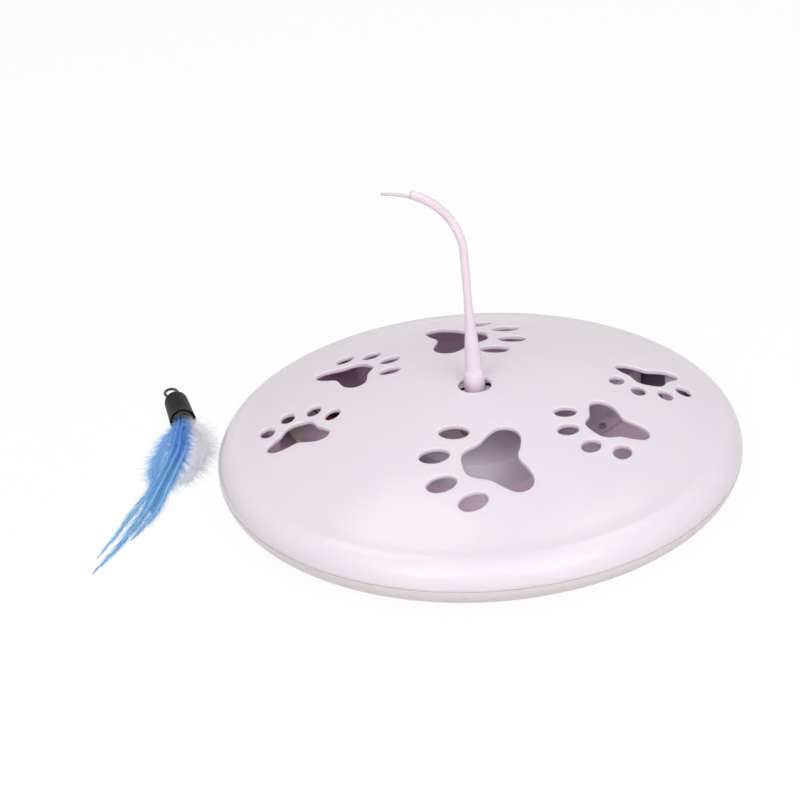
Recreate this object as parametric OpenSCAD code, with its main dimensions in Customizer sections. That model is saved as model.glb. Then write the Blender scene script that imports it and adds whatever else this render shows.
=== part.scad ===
// Electronic cat toy: a domed disc with paw-shaped windows, a geared motor inside
// that swings a curved tail, and a feather lure that hooks on the tail's forked tip.
// Millimetres. +Z up, origin on the floor under the tail's axis, front of the disc at -Y.

/* [Shell] */
// Diameter of the disc at the seam
disc_d = 250; // [244:1:270]
// Height of the seam between cover and base
seam_z = 13; // [12:0.5:15]
// Height of the crown of the dome
crown_z = 45; // [44:0.5:50]
// Radius of the rounded bead round the cover's edge
bead_r = 12.5; // [11:0.5:14]
// Height of the base's underside above the floor
stand_z = 3; // [2.5:0.5:4]
// Wall of the cover
cover_wall = 2.5; // [2:0.1:3]
// Wall of the base
base_wall = 2.5; // [2.2:0.1:3]
// Diameter of the hole that the tail comes out of
tail_hole_d = 15.4; // [13:0.2:18]

/* [Paw windows] */
// Width of the large paw's pad
paw_large_w = 44; // [38:0.5:46]
// Width of the middle paw's pad
paw_middle_w = 34; // [28:0.5:36]
// Width of the small paw's pad
paw_small_w = 30; // [24:0.5:31]
// Distance of the large paw from the axis
paw_large_r = 61; // [57:0.5:65]
// Distance of the middle paw from the axis
paw_middle_r = 68.5; // [64:0.5:72]
// Distance of the small paw from the axis
paw_small_r = 85.5; // [82:0.5:87]

/* [Feet and screws] */
// Diameter of a rubber foot
foot_d = 14; // [10:0.5:16]
// Depth of the pocket that a foot is glued into
foot_pocket = 1; // [0.6:0.1:1.2]
// Distance of the outer feet from the axis
foot_ring_r = 88; // [84:0.5:92]
// Distance of the cover screws from the axis
cover_screw_r = 104; // [102:0.5:106]
// Diameter of the cover screws' thread
cover_screw_d = 2.9; // [2.5:0.1:3.2]
// Diameter of the small inner screws' thread
inner_screw_d = 2.2; // [1.8:0.1:2.4]

/* [Gear train] */
// Gear module
gear_m = 0.6; // [0.58:0.01:0.62]
// Teeth on the motor pinion and on the idler's pinion
pinion_teeth = 10; // [10:1:12]
// Teeth on the idler's wheel
idler_teeth = 40; // [38:2:42]
// Teeth on the output wheel
output_teeth = 50; // [48:2:52]
// Face width of the output wheel
output_face = 4; // [3.4:0.2:4.4]
// Face width of the idler's wheel
idler_face = 3.5; // [3:0.1:3.6]
// Diameter of the output axle
output_axle_d = 3; // [2.4:0.2:3.4]
// Diameter of the idler axle
idler_axle_d = 2; // [1.6:0.1:2.4]
// Outer diameter of the output wheel's hub
hub_d = 9.2; // [8.6:0.1:9.4]
// Wall of the gearbox cover
gearbox_wall = 2; // [1.5:0.1:2.5]

/* [Motor] */
// Diameter of the motor can
motor_d = 15.5; // [14.5:0.1:16]
// Width of the motor can across its flats
motor_flat = 12; // [11:0.1:12.4]
// Length of the motor can
motor_len = 13.5; // [12:0.1:14]
// Thickness of the motor's end cap
motor_cap_t = 3; // [2:0.1:3.4]
// Diameter of the motor shaft
motor_shaft_d = 1.5; // [1.2:0.1:2]

/* [Batteries] */
// Diameter of a cell
cell_d = 14.5; // [13.8:0.1:14.5]
// Length of a cell with its button
cell_len = 50.5; // [49:0.1:51]
// Wall of the battery holder
holder_wall = 1.8; // [1.5:0.1:2.2]

/* [Board and switch] */
// Thickness of the circuit board
board_t = 1.6; // [1:0.1:2]
// Height of the board's underside above the base floor
board_lift = 6; // [5.6:0.1:7]
// Travel of the switch knob
switch_travel = 4; // [2:0.5:5]
// Diameter of the wires' insulation
wire_d = 1.4; // [1:0.1:1.6]

/* [Tail] */
// Diameter of the tail's ferrule
ferrule_d = 9.8; // [8.5:0.1:11]
// Height of the ferrule
ferrule_h = 12; // [9:0.5:14]
// Diameter of the ferrule's stem
stem_d = 5; // [4:0.1:5.6]
// Length of the stem in the hub
stem_len = 11; // [8:0.5:12]
// Diameter of the tail above the ferrule
tail_root_d = 7.8; // [6.5:0.1:8.4]
// Diameter of the tail at its slim waist
tail_waist_d = 3.7; // [3:0.1:4.5]
// Diameter of the tail where it forks
tail_fork_d = 4.2; // [3.8:0.1:4.6]
// Diameter of the thin prong where it leaves the fork
prong_d = 1.8; // [1.5:0.1:2.1]
// Diameter of the tail at its tip
tail_tip_d = 1.4; // [1:0.1:2]
// Length of the upright part of the tail
tail_rise = 60; // [45:0.5:75]
// Radius of the tail's bend
tail_bend_r = 33; // [27:0.5:39]
// Angle that the tail bends through
tail_bend = 82; // [70:1:95]
// Lean of the upright part towards the bend
tail_lean = 1.5; // [0:0.5:4]
// Length of the tip past the bend
tail_tip_len = 5.5; // [3:0.5:9]

/* [Lure] */
// Length of the lure's cap
lure_cap_len = 28; // [24:0.5:32]
// Diameter of the cap at its mouth
lure_mouth_d = 13.4; // [12.8:0.1:14]
// Diameter of the cap at its domed end
lure_crown_d = 12; // [11.4:0.1:12.6]
// Wall of the cap
lure_wall = 1.2; // [1:0.1:1.4]
// Diameter of the lure's cord
lure_cord_d = 1.5; // [1.2:0.1:1.6]
// Width of the blue plume
plume_w = 15; // [12:0.5:16]
// Distance of the lure's cap from the axis, to the left
lure_left = 157; // [150:1:175]
// Distance of the lure's cap behind the axis
lure_back = 75; // [66:1:84]

/* [Hidden] */
$fn = 96;

// Colours
shell_white = [0.93, 0.90, 0.93];
ivory = [0.87, 0.87, 0.78];
steel = [0.70, 0.70, 0.72];
soft_black = [0.08, 0.09, 0.08];
feather_blue = [0.25, 0.55, 0.95];

// Clearances
running_gap = 0.06;
seat_gap = 0.2;
fit_gap = 0.3;
door_gap = 0.25;
slide_gap = 0.3;
tip_gap = 0.2;
tiny = 0.01;
over = 1;

// Levels above the floor
disc_r = disc_d / 2;
floor_z = stand_z + base_wall;
boss_h = 1.5;
gear_low_z = floor_z + boss_h + seat_gap;
gear_step = 0.8;
gear_high_z = gear_low_z + output_face + gear_step;
collar_h = 1.8;
plate_z = gear_high_z + idler_face + collar_h + seat_gap;
gearbox_h = plate_z - floor_z;
plate_t = 2.5;
plate_top_z = plate_z + plate_t;
hub_sink = 5;
hub_top_z = crown_z - hub_sink;

// Dome and bead of the cover
bead_c = disc_r - bead_r;
bead_top_z = seam_z + bead_r;
dome_rise = crown_z - bead_top_z;
dome_r = (bead_c * bead_c + dome_rise * dome_rise) / (2 * dome_rise);
dome_c = crown_z - dome_r;
function dome_z(r) = dome_c + sqrt(dome_r * dome_r - r * r);
function dome_under(r) = dome_c + sqrt(pow(dome_r - cover_wall, 2) - r * r);
base_bead_r = seam_z - stand_z;
base_bead_c = disc_r - base_bead_r;
tongue_t = 1.5;
tongue_h = 2.5;
tongue_drop = 4;
tongue_gap = 0.7;
tongue_r = disc_r - max(cover_wall, base_wall) - tongue_gap;

// Paws: pad width, distance, angle on the disc and heading, each also turned half round
paws = [
    [paw_large_w, paw_large_r, -83.4, 189],
    [paw_middle_w, paw_middle_r, -27.3, 221],
    [paw_small_w, paw_small_r, 12.6, 270]
];
// Half of a pad's outline, forward and sideways, for a pad this wide
pad_drawn_w = 44.4;
pad_half = [
    [14.8, 0], [13.9, 6.4], [10.4, 9.9], [4.4, 12.8], [-0.5, 18], [-6.2, 22],
    [-12, 20.4], [-14.6, 14.6], [-13.2, 7.4], [-10.6, 0]
];
// Toes: forward, sideways, length, width and lean, for the same pad
toes = [[26, 9.4, 14, 10, 8], [14.4, 23.4, 14, 10, 20]];
pad_steps = 4;
toe_sides = 24;

// Feet and screws
foot_h = stand_z + foot_pocket;
foot_angles = [0, 90, 180, 270];
cover_screw_angles = [-57, 20, 76, 123, 170, 228];
boss_wall = 2.6;
boss_rise = 1;
cover_boss_z = seam_z + boss_rise;
cover_screw_sink = 4;
head_ratio = 1.9;
cover_screw_head_d = cover_screw_d * head_ratio;
cover_screw_head_h = 1.8;
cover_screw_bite = 8;
inner_head_d = inner_screw_d * head_ratio;
inner_head_h = 1.4;
post_wall = 1.6;
post_d = inner_screw_d + 2 * post_wall;
pilot_skin = 0.6;

// Gear train
pinion_shift = 0.4;
tooth_play = 0.12;
tip_trim = 0.03;
root_depth = 1.25;
pressure = 20;
flank_steps = 4;
function pitch_r(teeth) = teeth * gear_m / 2;
idler_x = pitch_r(output_teeth) + pitch_r(pinion_teeth);
motor_bearing = 100;
motor_reach = pitch_r(idler_teeth) + pitch_r(pinion_teeth);
motor_xy = [idler_x + motor_reach * cos(motor_bearing), motor_reach * sin(motor_bearing)];
gear_room = 0.7;
gearbox_r = idler_x + pitch_r(idler_teeth) + gear_m * (1 - pinion_shift) + gear_room + gearbox_wall;
bush_wall = 2;
collar_wall = 1.5;
stem_room = 0.5;
bush_flange_t = 1;
bush_flange_w = 1.2;
ear_angles = [20, 140, 260];
ear_out = 3.6;
ear_r = gearbox_r + ear_out;
ear_t = 2.5;
ear_rim = 0.5;
ear_d = post_d + 2 * ear_rim;
ear_post_h = 4;
axle_sink = 1.5;
hub_boss_wall = 2.6;
motor_nose_d = 5;
motor_nose_h = 1.2;
pinion_short = 0.4;
pinion_face = idler_face - pinion_short;
clip_t = 1.2;
clip_w = 8;
clip_foot = 6;
clip_gap = 0.2;
motor_top_z = plate_top_z + motor_len + motor_cap_t;
terminal_offset = 5.6;
terminal_t = 0.5;
terminal_w = 2;
terminal_h = 2.4;
motor_turn = 45;

// Battery bay
cell_count = 3;
bay_angle = 48;
bay_r = 68;
cell_gap = 0.9;
cell_pitch = cell_d + cell_gap;
leaf_room = 4;
plate_room = 1;
bay_w = cell_pitch * cell_count;
bay_l = cell_len + leaf_room + plate_room;
cell_room = 0.4;
cell_z = floor_z + cell_room + cell_d / 2;
bay_top_z = cell_z + cell_d / 2 + cell_room;
flange_side = 4;
flange_end = 9;
flange_t = 2;
door_lap = 2;
door_w = bay_w + 2 * door_lap;
door_l = bay_l + 2 * door_lap;
door_corner = 3;
door_ear_r = 4.6;
door_ear_out = 1.5;
door_ear_y = door_l / 2 + door_ear_out;
door_post_h = 6;
door_head_sink = 0.2;
grip_count = 3;
grip_pitch = 4;
grip_w = 16;
grip_t = 1.6;
grip_depth = 0.6;
holder_screw_x = 14;
holder_screw_in = 3;
holder_screw_y = bay_l / 2 + flange_end - holder_screw_in;
holder_screws_xy = [[holder_screw_x, holder_screw_y], [-holder_screw_x, -holder_screw_y]];
contact_w = 10;
contact_h = 8.6;
leaf_w = 8.6;
leaf_t = 0.5;
leaf_tongue = 7.2;
button_d = 5.5;
button_h = 1.3;

// Board
board_z = floor_z + board_lift;
// The board keeps inside the tongue and the ring of cover screws, and its points count from its outer edge
board_tongue_gap = 17.3;
board_screw_gap = 1;
board_x = -min(tongue_r - tongue_t - board_tongue_gap, cover_screw_r - board_screw_gap);
board_outline = [[17.5, 10], [15, 12], [12, 17], [9.5, 24], [0, 34], [3, 50], [17.5, 62]];
board_posts = [[12, 31], [6, 48]];
chip_xy = [4, 35];
chip_size = [8, 6, 2];
capacitor_xy = [12, 46];
capacitor_d = 5;
capacitor_h = 6;
resistor_xy = [13, 36];
resistor_size = [3.2, 1.4, 1];
resistor_pitch = 2;
resistor_count = 3;
switch_xy = [-72, 50];
knob_w = 3;
knob_l = 6;
switch_w = 7;
switch_end = 3;
switch_l = knob_l + switch_travel + 2 * switch_end;
switch_h = 5;
switch_roof = 2;
knob_drop = 1.2;
knob_groove_pitch = 1.6;
knob_groove_w = 0.6;
knob_groove_depth = 0.4;

// Wire routes, from the battery bay or the motor to the board
wire_sides = 8;
wire_steps = 4;
battery_red_route = [[26.2, 73.3, 16], [23.8, 75.4, 15.5], [20, 78.5, 12], [13, 81.5, 8], [0, 83, 7],
    [-20, 83, 7], [-45, 80, 7], [-66, 72, 7], [-76, 66, 8.5], [-81.5, 60, 12.5], [-85, 57.5, 14.2],
    [-88, 57, 14.1]];
battery_black_route = [[20.8, 67.3, 16], [18.4, 69.5, 15.5], [14.5, 72.5, 12], [8, 75, 8], [-5, 76.5, 7],
    [-25, 76.5, 7], [-47, 73.5, 7], [-65, 65.5, 7], [-75, 60, 8.5], [-80.5, 55.5, 12.5], [-84.5, 53.4, 14.2],
    [-88, 53, 14.1]];
motor_red_route = [[19.6, 19, 38], [21.5, 20.9, 37.9], [25, 24.6, 34], [25.6, 26.4, 24], [23, 29, 12],
    [16, 32.8, 8], [4, 36, 7], [-10, 38, 7], [-26, 41, 7], [-45, 42, 7], [-63, 38, 7], [-75, 41, 8.5],
    [-80.5, 46.5, 12.5], [-84.5, 48.8, 14.2], [-88, 49.4, 14.1]];
motor_black_route = [[11.2, 10.6, 38], [9.6, 9.4, 38], [6.5, 11.5, 38], [0, 16, 36], [-6, 21, 31],
    [-14, 26.5, 25], [-21.5, 31, 17], [-29, 36, 9.5], [-45, 38.5, 7], [-63, 34.5, 7], [-75, 36.5, 8.5],
    [-80.5, 40.5, 12.5], [-84, 41.8, 14.2], [-86.6, 42, 14.1]];

// Tail
ferrule_z = hub_top_z;
tail_z = ferrule_z + ferrule_h;
tail_foot_z = tail_z + tail_root_d / 2 * sin(tail_lean);
tail_rings_rise = 14;
tail_rings_bend = 18;
tail_rings_tip = 3;
tail_sides = 12;
fork_ring = tail_rings_rise + tail_rings_bend - 3;
prong_rings_inside = 2;
prong_drop = (tail_fork_d - prong_d) / 2 - 0.1;
barb_overhang = 0.9;
barb_lift = 0.25;
barb_d = 2.2;
barb_tip_d = 0.7;
barb_rings = 3;
tail_waist_at = 0.45;
barb_sides = 8;
ferrule_chamfer = 1;

// Lure, in its own frame: along the cap towards the tips, sideways, and up from the floor
lure_turn = -74;
cap_slope = atan((lure_mouth_d - lure_crown_d) / 2 / lure_cap_len);
cap_axis_z = lure_crown_d / 2 * cos(cap_slope);
mouth_x = lure_cap_len * cos(cap_slope);
mouth_z = cap_axis_z + lure_cap_len * sin(cap_slope);
plug_back = 5;
plug_t = 14;
loop_sides = 8;
loop_route = [
    [-0.2, 1.3, 6], [-2, 1.4, 6], [-4, 1.4, 5.2], [-6, 1, 3.6], [-8, 0.2, 2], [-10, -0.9, 1.1],
    [-12, -1.9, 0.8], [-14, -2.8, 0.8], [-16, -3.3, 0.8], [-18, -3.1, 0.8], [-20, -1.9, 0.8],
    [-20.8, 0, 0.8], [-20, 1.9, 0.8], [-18, 3.1, 0.8], [-16, 3.3, 0.8], [-14, 2.8, 1],
    [-12, 1.9, 1.8], [-10, 0.9, 3], [-8, -0.2, 4], [-6, -1, 4.8], [-4, -1.4, 5.6],
    [-2, -1.4, 6], [-0.2, -1.3, 6]
];
feather_sides = 10;
feather_steps = 3;
// Feathers, from the plug to the tip: past the mouth, sideways, up from the mouth's axis,
// half width as a share of the plume's width, and half thickness
blue_stations = [[-8.7, 0, -2, 0.08, 1], [0, -0.5, -2, 0.16, 1.6], [12, -3, -2, 0.43, 3],
    [28, -7, -3, 0.5, 3.4], [45, -14, -3.6, 0.4, 2.8], [58, -21.5, -4.8, 0.2, 1.6],
    [66, -27, -5.8, 0.03, 0.4]];
white_stations = [[-8.7, 3.2, -1.5, 0.05, 0.7], [0, 3.9, -1.5, 0.06, 0.8], [6, 6.6, -2, 0.19, 1.6],
    [12, 9, -2.6, 0.3, 2.2], [28, 7.6, -3.8, 0.4, 2.4], [40, 2.6, -4.4, 0.36, 2],
    [52, -6.5, -5.6, 0.06, 0.5]];
pale_stations = [[-8.7, -3.2, -1.5, 0.05, 0.7], [0, -4, -1.6, 0.04, 0.6], [6, -8.4, -2.8, 0.1, 0.9],
    [12, -12.4, -3.8, 0.16, 1.1], [20, -16.6, -4.6, 0.24, 1.5], [28, -19.8, -4.8, 0.29, 1.6],
    [38, -22.4, -5, 0.2, 1.3], [47, -23.6, -5.8, 0.04, 0.4]];
long_stations = [
    [[-8.7, 0, 2, 0.03, 0.4], [0, 0, 2, 0.03, 0.4], [12, -3, 1.9, 0.05, 0.4], [28, -7, 1.3, 0.08, 0.4],
        [45, -14.5, 0.1, 0.11, 0.4], [58, -22, -2.3, 0.13, 0.4], [68, -28, -4.4, 0.13, 0.4],
        [82, -37, -5.5, 0.12, 0.4], [98, -48, -5.7, 0.08, 0.4], [113, -60, -5.9, 0.02, 0.3]],
    [[-8.7, -2.6, 1.8, 0.03, 0.4], [0, -3.2, 1.8, 0.03, 0.4], [12, -6.6, 1.7, 0.04, 0.4],
        [28, -11, 1, 0.06, 0.4], [45, -19, -0.6, 0.07, 0.4], [58, -27.5, -3.6, 0.07, 0.4],
        [70, -36, -5.3, 0.07, 0.4], [85, -45.5, -5.7, 0.06, 0.4], [101, -56.5, -5.9, 0.02, 0.3]],
    [[-8.7, 2.6, 1.8, 0.03, 0.4], [0, 3.2, 1.8, 0.03, 0.4], [12, 0.6, 1.7, 0.04, 0.4],
        [28, -3, 1, 0.06, 0.4], [45, -10.2, 0, 0.08, 0.4], [58, -17.2, -2.4, 0.09, 0.4],
        [70, -24, -5.2, 0.09, 0.4], [82, -32, -5.6, 0.07, 0.4], [92, -39.5, -5.9, 0.02, 0.3]]
];

// Drawing helpers
function lerp(a, b, t) = a + (b - a) * t;
function unit(v) = v / norm(v);
function catmull(a, b, c, d, t) = 0.5 * (2 * b + (c - a) * t + (2 * a - 5 * b + 4 * c - d) * t * t
    + (3 * b - a - 3 * c + d) * t * t * t);
// A smooth open line through the points
function smooth_line(p, steps) = let (n = len(p)) concat(
    [for (i = [0:n - 2], k = [0:steps - 1])
        catmull(p[max(i - 1, 0)], p[i], p[i + 1], p[min(i + 2, n - 1)], k / steps)],
    [p[n - 1]]);
// A smooth closed line through the points
function smooth_ring(p, steps) = let (n = len(p))
    [for (i = [0:n - 1], k = [0:steps - 1])
        catmull(p[(i + n - 1) % n], p[i], p[(i + 1) % n], p[(i + 2) % n], k / steps)];
function heading(p, i) = unit(p[min(i + 1, len(p) - 1)] - p[max(i - 1, 0)]);
// Sideways directions carried along a line without twist
function sides_of(p, start, i = 0) = i >= len(p) ? [] :
    let (t = heading(p, i), s = unit(start - (start * t) * t))
        concat([s], sides_of(p, s, i + 1));
// A closed tube along a line: half widths across and up, at every point of the line
module sweep(line, across, up, count, start = [0, 1, 0]) {
    n = len(line);
    side = sides_of(line, start);
    ring_points = [for (i = [0:n - 1], k = [0:count - 1])
        let (t = heading(line, i), a = 360 * k / count)
            line[i] + side[i] * across[i] * cos(a) + cross(t, side[i]) * up[i] * sin(a)];
    walls = [for (i = [0:n - 2], k = [0:count - 1], half = [0:1])
        let (a = i * count + k, b = i * count + (k + 1) % count)
            half == 0 ? [a, a + count, b] : [b, a + count, b + count]];
    start_cap = [for (k = [1:count - 2]) [0, k, k + 1]];
    last = (n - 1) * count;
    end_cap = [for (k = [1:count - 2]) [last, last + k + 1, last + k]];
    polyhedron(points = ring_points, faces = concat(walls, start_cap, end_cap));
}
module round_tube(line, d, count, start = [0, 1, 0]) {
    halves = [for (p = line) d / 2];
    sweep(line, halves, halves, count, start);
}
module rounded_rect(w, l, r) {
    square([w - 2 * r, l], center = true);
    square([w, l - 2 * r], center = true);
    for (x = [-1, 1], y = [-1, 1]) translate([x * (w / 2 - r), y * (l / 2 - r)]) circle(r = r);
}
module ring(outer_r, inner_r, h) {
    difference() {
        cylinder(r = outer_r, h = h);
        translate([0, 0, -tiny]) cylinder(r = inner_r, h = h + 2 * tiny);
    }
}
module at_polar(r, angle) { rotate([0, 0, angle]) translate([r, 0, 0]) children(); }
// A screw pointing up, with its head's top face down at z 0
module screw(d, head_d, head_h, length) {
    slot_w = head_d * 0.16;
    difference() {
        cylinder(d = head_d, h = head_h);
        for (a = [0, 90]) rotate([0, 0, a])
            translate([-head_d * 0.32, -slot_w / 2, -tiny])
                cube([head_d * 0.64, slot_w, head_h * 0.6]);
    }
    translate([0, 0, head_h - tiny]) cylinder(d = d, h = length);
}
module screw_down(d, head_d, head_h, length) { mirror([0, 0, 1]) screw(d, head_d, head_h, length); }

// Paw windows
function pad_outline() = let (n = len(pad_half)) concat(
    pad_half, [for (i = [n - 2:-1:1]) [pad_half[i][0], -pad_half[i][1]]]);
module paw_shape() {
    polygon(smooth_ring(pad_outline(), pad_steps));
    for (toe = toes, s = [-1, 1]) translate([toe[0], s * toe[1]]) rotate(s * toe[4])
        polygon([for (k = [0:toe_sides - 1]) let (a = 360 * k / toe_sides)
            [toe[2] / 2 * cos(a), toe[3] / 2 * sin(a)]]);
}
module paw_cuts() {
    for (paw = paws, half = [0, 180]) at_polar(paw[1], paw[2] + half)
        rotate([0, 0, paw[3] - paw[2]]) scale(paw[0] / pad_drawn_w)
            linear_extrude(height = 2 * crown_z) paw_shape();
}

// Cover
module dome_section(drop, bead) {
    intersection() {
        translate([0, dome_c]) circle(r = dome_r - drop, $fn = 360);
        translate([0, seam_z]) square([bead_c, crown_z]);
    }
    intersection() {
        translate([bead_c, seam_z]) circle(r = bead);
        translate([bead_c - tiny, seam_z]) square([2 * bead, 2 * bead]);
    }
}
module cover_section() {
    lip = cover_wall / 2;
    hole_edge = tail_hole_d / 2 + lip;
    difference() {
        dome_section(0, bead_r);
        translate([0, -tiny]) dome_section(cover_wall, bead_r - cover_wall);
        translate([-tiny, 0]) square([hole_edge, 2 * crown_z]);
    }
    translate([hole_edge, (dome_z(hole_edge) + dome_under(hole_edge)) / 2]) circle(r = lip, $fn = 48);
}
module cover_bosses() {
    boss_r = cover_screw_d / 2 + boss_wall;
    for (a = cover_screw_angles) at_polar(cover_screw_r, a) translate([0, 0, cover_boss_z])
        cylinder(r = boss_r, h = dome_under(cover_screw_r + boss_r) + cover_wall / 2 - cover_boss_z);
}
module top_cover() {
    color(shell_white) difference() {
        union() {
            rotate_extrude($fn = 180) cover_section();
            cover_bosses();
        }
        paw_cuts();
        for (a = cover_screw_angles) at_polar(cover_screw_r, a) translate([0, 0, cover_boss_z - tiny])
            cylinder(d = cover_screw_d, h = cover_screw_bite + over, $fn = 48);
    }
}
module cover_screws() {
    start = stand_z + cover_screw_sink;
    length = cover_boss_z - start + cover_screw_bite;
    color(steel) for (a = cover_screw_angles) at_polar(cover_screw_r, a)
        translate([0, 0, start - cover_screw_head_h])
            screw(cover_screw_d, cover_screw_head_d, cover_screw_head_h, length, $fn = 32);
}

// Base
module base_section() {
    difference() {
        union() {
            translate([0, stand_z]) square([base_bead_c, base_bead_r]);
            intersection() {
                translate([base_bead_c, seam_z]) circle(r = base_bead_r);
                translate([0, stand_z]) square([disc_r, base_bead_r]);
            }
        }
        translate([0, floor_z]) square([base_bead_c, seam_z]);
        translate([base_bead_c, seam_z]) circle(r = base_bead_r - base_wall);
    }
    translate([tongue_r - tongue_t, seam_z - tongue_drop]) square([tongue_t, tongue_h + tongue_drop]);
}
module on_board() { translate([board_x, 0, 0]) children(); }
module knob_slot() {
    square([knob_w + 2 * slide_gap, knob_l + switch_travel + 2 * slide_gap], center = true);
}
module in_bay() { rotate([0, 0, bay_angle]) translate([bay_r, 0, 0]) children(); }
module door_plan(grow) {
    rounded_rect(door_w + 2 * grow, door_l + 2 * grow, door_corner + grow);
    translate([0, -door_ear_y]) circle(r = door_ear_r + grow);
}
module cover_screw_seats() {
    for (a = cover_screw_angles) at_polar(cover_screw_r, a) translate([0, 0, stand_z])
        cylinder(r = cover_screw_head_d / 2 + boss_wall, h = cover_boss_z - stand_z);
}
module cover_screw_holes() {
    for (a = cover_screw_angles) at_polar(cover_screw_r, a) {
        translate([0, 0, stand_z - tiny])
            cylinder(d = cover_screw_head_d + 2 * fit_gap, h = cover_screw_sink + tiny, $fn = 48);
        cylinder(d = cover_screw_d + 2 * fit_gap, h = cover_boss_z + over, $fn = 48);
    }
}
module floor_posts() {
    translate([0, 0, floor_z - tiny]) {
        cylinder(d = output_axle_d + 2 * hub_boss_wall, h = boss_h + tiny);
        translate([idler_x, 0, 0]) cylinder(d = idler_axle_d + 2 * post_wall, h = boss_h + tiny);
        for (a = ear_angles) at_polar(ear_r, a) cylinder(d = post_d, h = ear_post_h + tiny);
        on_board() for (p = board_posts) translate(p) cylinder(d = post_d, h = board_lift + tiny);
    }
}
module floor_holes() {
    pilot_h = 2 * board_lift;
    translate([0, 0, floor_z - axle_sink]) {
        cylinder(d = output_axle_d, h = gearbox_h, $fn = 48);
        translate([idler_x, 0, 0]) cylinder(d = idler_axle_d, h = gearbox_h, $fn = 48);
    }
    translate([0, 0, floor_z]) {
        for (a = ear_angles) at_polar(ear_r, a) cylinder(d = inner_screw_d, h = pilot_h, $fn = 48);
        on_board() for (p = board_posts) translate(p) cylinder(d = inner_screw_d, h = pilot_h, $fn = 48);
    }
    in_bay() for (p = holder_screws_xy) translate([p[0], p[1], stand_z + pilot_skin])
        cylinder(d = inner_screw_d, h = pilot_h, $fn = 48);
}
module base_tray() {
    color(shell_white) difference() {
        union() {
            rotate_extrude($fn = 180) base_section();
            cover_screw_seats();
            floor_posts();
        }
        cover_screw_holes();
        floor_holes();
        for (p = concat([[0, 0]], [for (a = foot_angles) foot_ring_r * [cos(a), sin(a)]]))
            translate([p[0], p[1], stand_z - over]) cylinder(d = foot_d + tip_gap, h = foot_pocket + over);
        in_bay() translate([0, 0, stand_z - over]) linear_extrude(height = base_wall + 2 * over)
            door_plan(door_gap);
        translate([switch_xy[0], switch_xy[1], stand_z - over]) linear_extrude(height = base_wall + 2 * over)
            knob_slot();
    }
}
module foot(p) {
    color(soft_black) translate([p[0], p[1], 0]) cylinder(d = foot_d, h = foot_h);
}
module outer_foot(i) { foot(foot_ring_r * [cos(foot_angles[i]), sin(foot_angles[i])]); }

// Gears
function involute(a) = tan(a) * 180 / PI - a;
// Half the angle that a tooth fills at radius r
function tooth_half(teeth, shift, r) = let (
    rp = pitch_r(teeth), rb = rp * cos(pressure),
    width = gear_m * (PI / 2 + 2 * shift * tan(pressure)) - tooth_play)
    width / 2 / rp * 180 / PI + involute(pressure) - involute(acos(min(1, rb / r)));
function gear_outline(teeth, shift) = let (
    rp = pitch_r(teeth), rb = rp * cos(pressure),
    tip = rp + gear_m * (1 + shift) - tip_trim, root = rp - gear_m * (root_depth - shift),
    low = max(rb, root), flank = [for (k = [0:flank_steps]) lerp(low, tip, k / flank_steps)],
    foot = root < low ? [root] : [], rising = concat(foot, flank), count = len(rising),
    angle = [for (r = rising) tooth_half(teeth, shift, max(r, low))])
    [for (i = [0:teeth - 1]) let (c = 360 * i / teeth) each concat(
        [for (k = [0:count - 1]) rising[k] * [cos(c - angle[k]), sin(c - angle[k])]],
        [for (k = [count - 1:-1:0]) rising[k] * [cos(c + angle[k]), sin(c + angle[k])]])];
module wheel(teeth, face) { linear_extrude(height = face) polygon(gear_outline(teeth, -pinion_shift)); }
module pinion(face) { linear_extrude(height = face) polygon(gear_outline(pinion_teeth, pinion_shift)); }

module output_gear() {
    hub_z = gear_low_z + output_face - tiny;
    color("ivory") difference() {
        union() {
            translate([0, 0, gear_low_z]) rotate([0, 0, 180 / output_teeth])
                wheel(output_teeth, output_face);
            translate([0, 0, hub_z]) cylinder(d = hub_d, h = hub_top_z - hub_z);
        }
        translate([0, 0, gear_low_z - over])
            cylinder(d = output_axle_d + 2 * running_gap, h = plate_top_z + over - gear_low_z, $fn = 48);
        translate([0, 0, hub_top_z - stem_len - stem_room])
            cylinder(d = stem_d + 2 * running_gap, h = stem_len + stem_room + over, $fn = 48);
    }
}
module idler_gear() {
    collar_z = gear_high_z + idler_face - tiny;
    color("ivory") translate([idler_x, 0, 0]) difference() {
        union() {
            translate([0, 0, gear_low_z]) rotate([0, 0, 180]) pinion(output_face + gear_step + tiny);
            translate([0, 0, gear_high_z]) rotate([0, 0, motor_bearing + 180 / idler_teeth])
                wheel(idler_teeth, idler_face);
            translate([0, 0, collar_z]) cylinder(d = idler_axle_d + 2 * collar_wall, h = collar_h + tiny);
        }
        translate([0, 0, gear_low_z - over])
            cylinder(d = idler_axle_d + 2 * running_gap, h = 2 * gearbox_h, $fn = 48);
    }
}
module output_axle() {
    color(steel) translate([0, 0, floor_z - axle_sink])
        cylinder(d = output_axle_d, h = plate_top_z - floor_z + axle_sink, $fn = 48);
}
module idler_axle() {
    color(steel) translate([idler_x, 0, floor_z - axle_sink])
        cylinder(d = idler_axle_d, h = gearbox_h + 2 * axle_sink, $fn = 48);
}
module output_bush() {
    bore_r = hub_d / 2 + running_gap;
    bush_r = hub_d / 2 + bush_wall;
    color("tan") translate([0, 0, plate_z]) {
        ring(bush_r, bore_r, plate_t + tiny);
        translate([0, 0, plate_t]) ring(bush_r + bush_flange_w, bore_r, bush_flange_t);
    }
}
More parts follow.
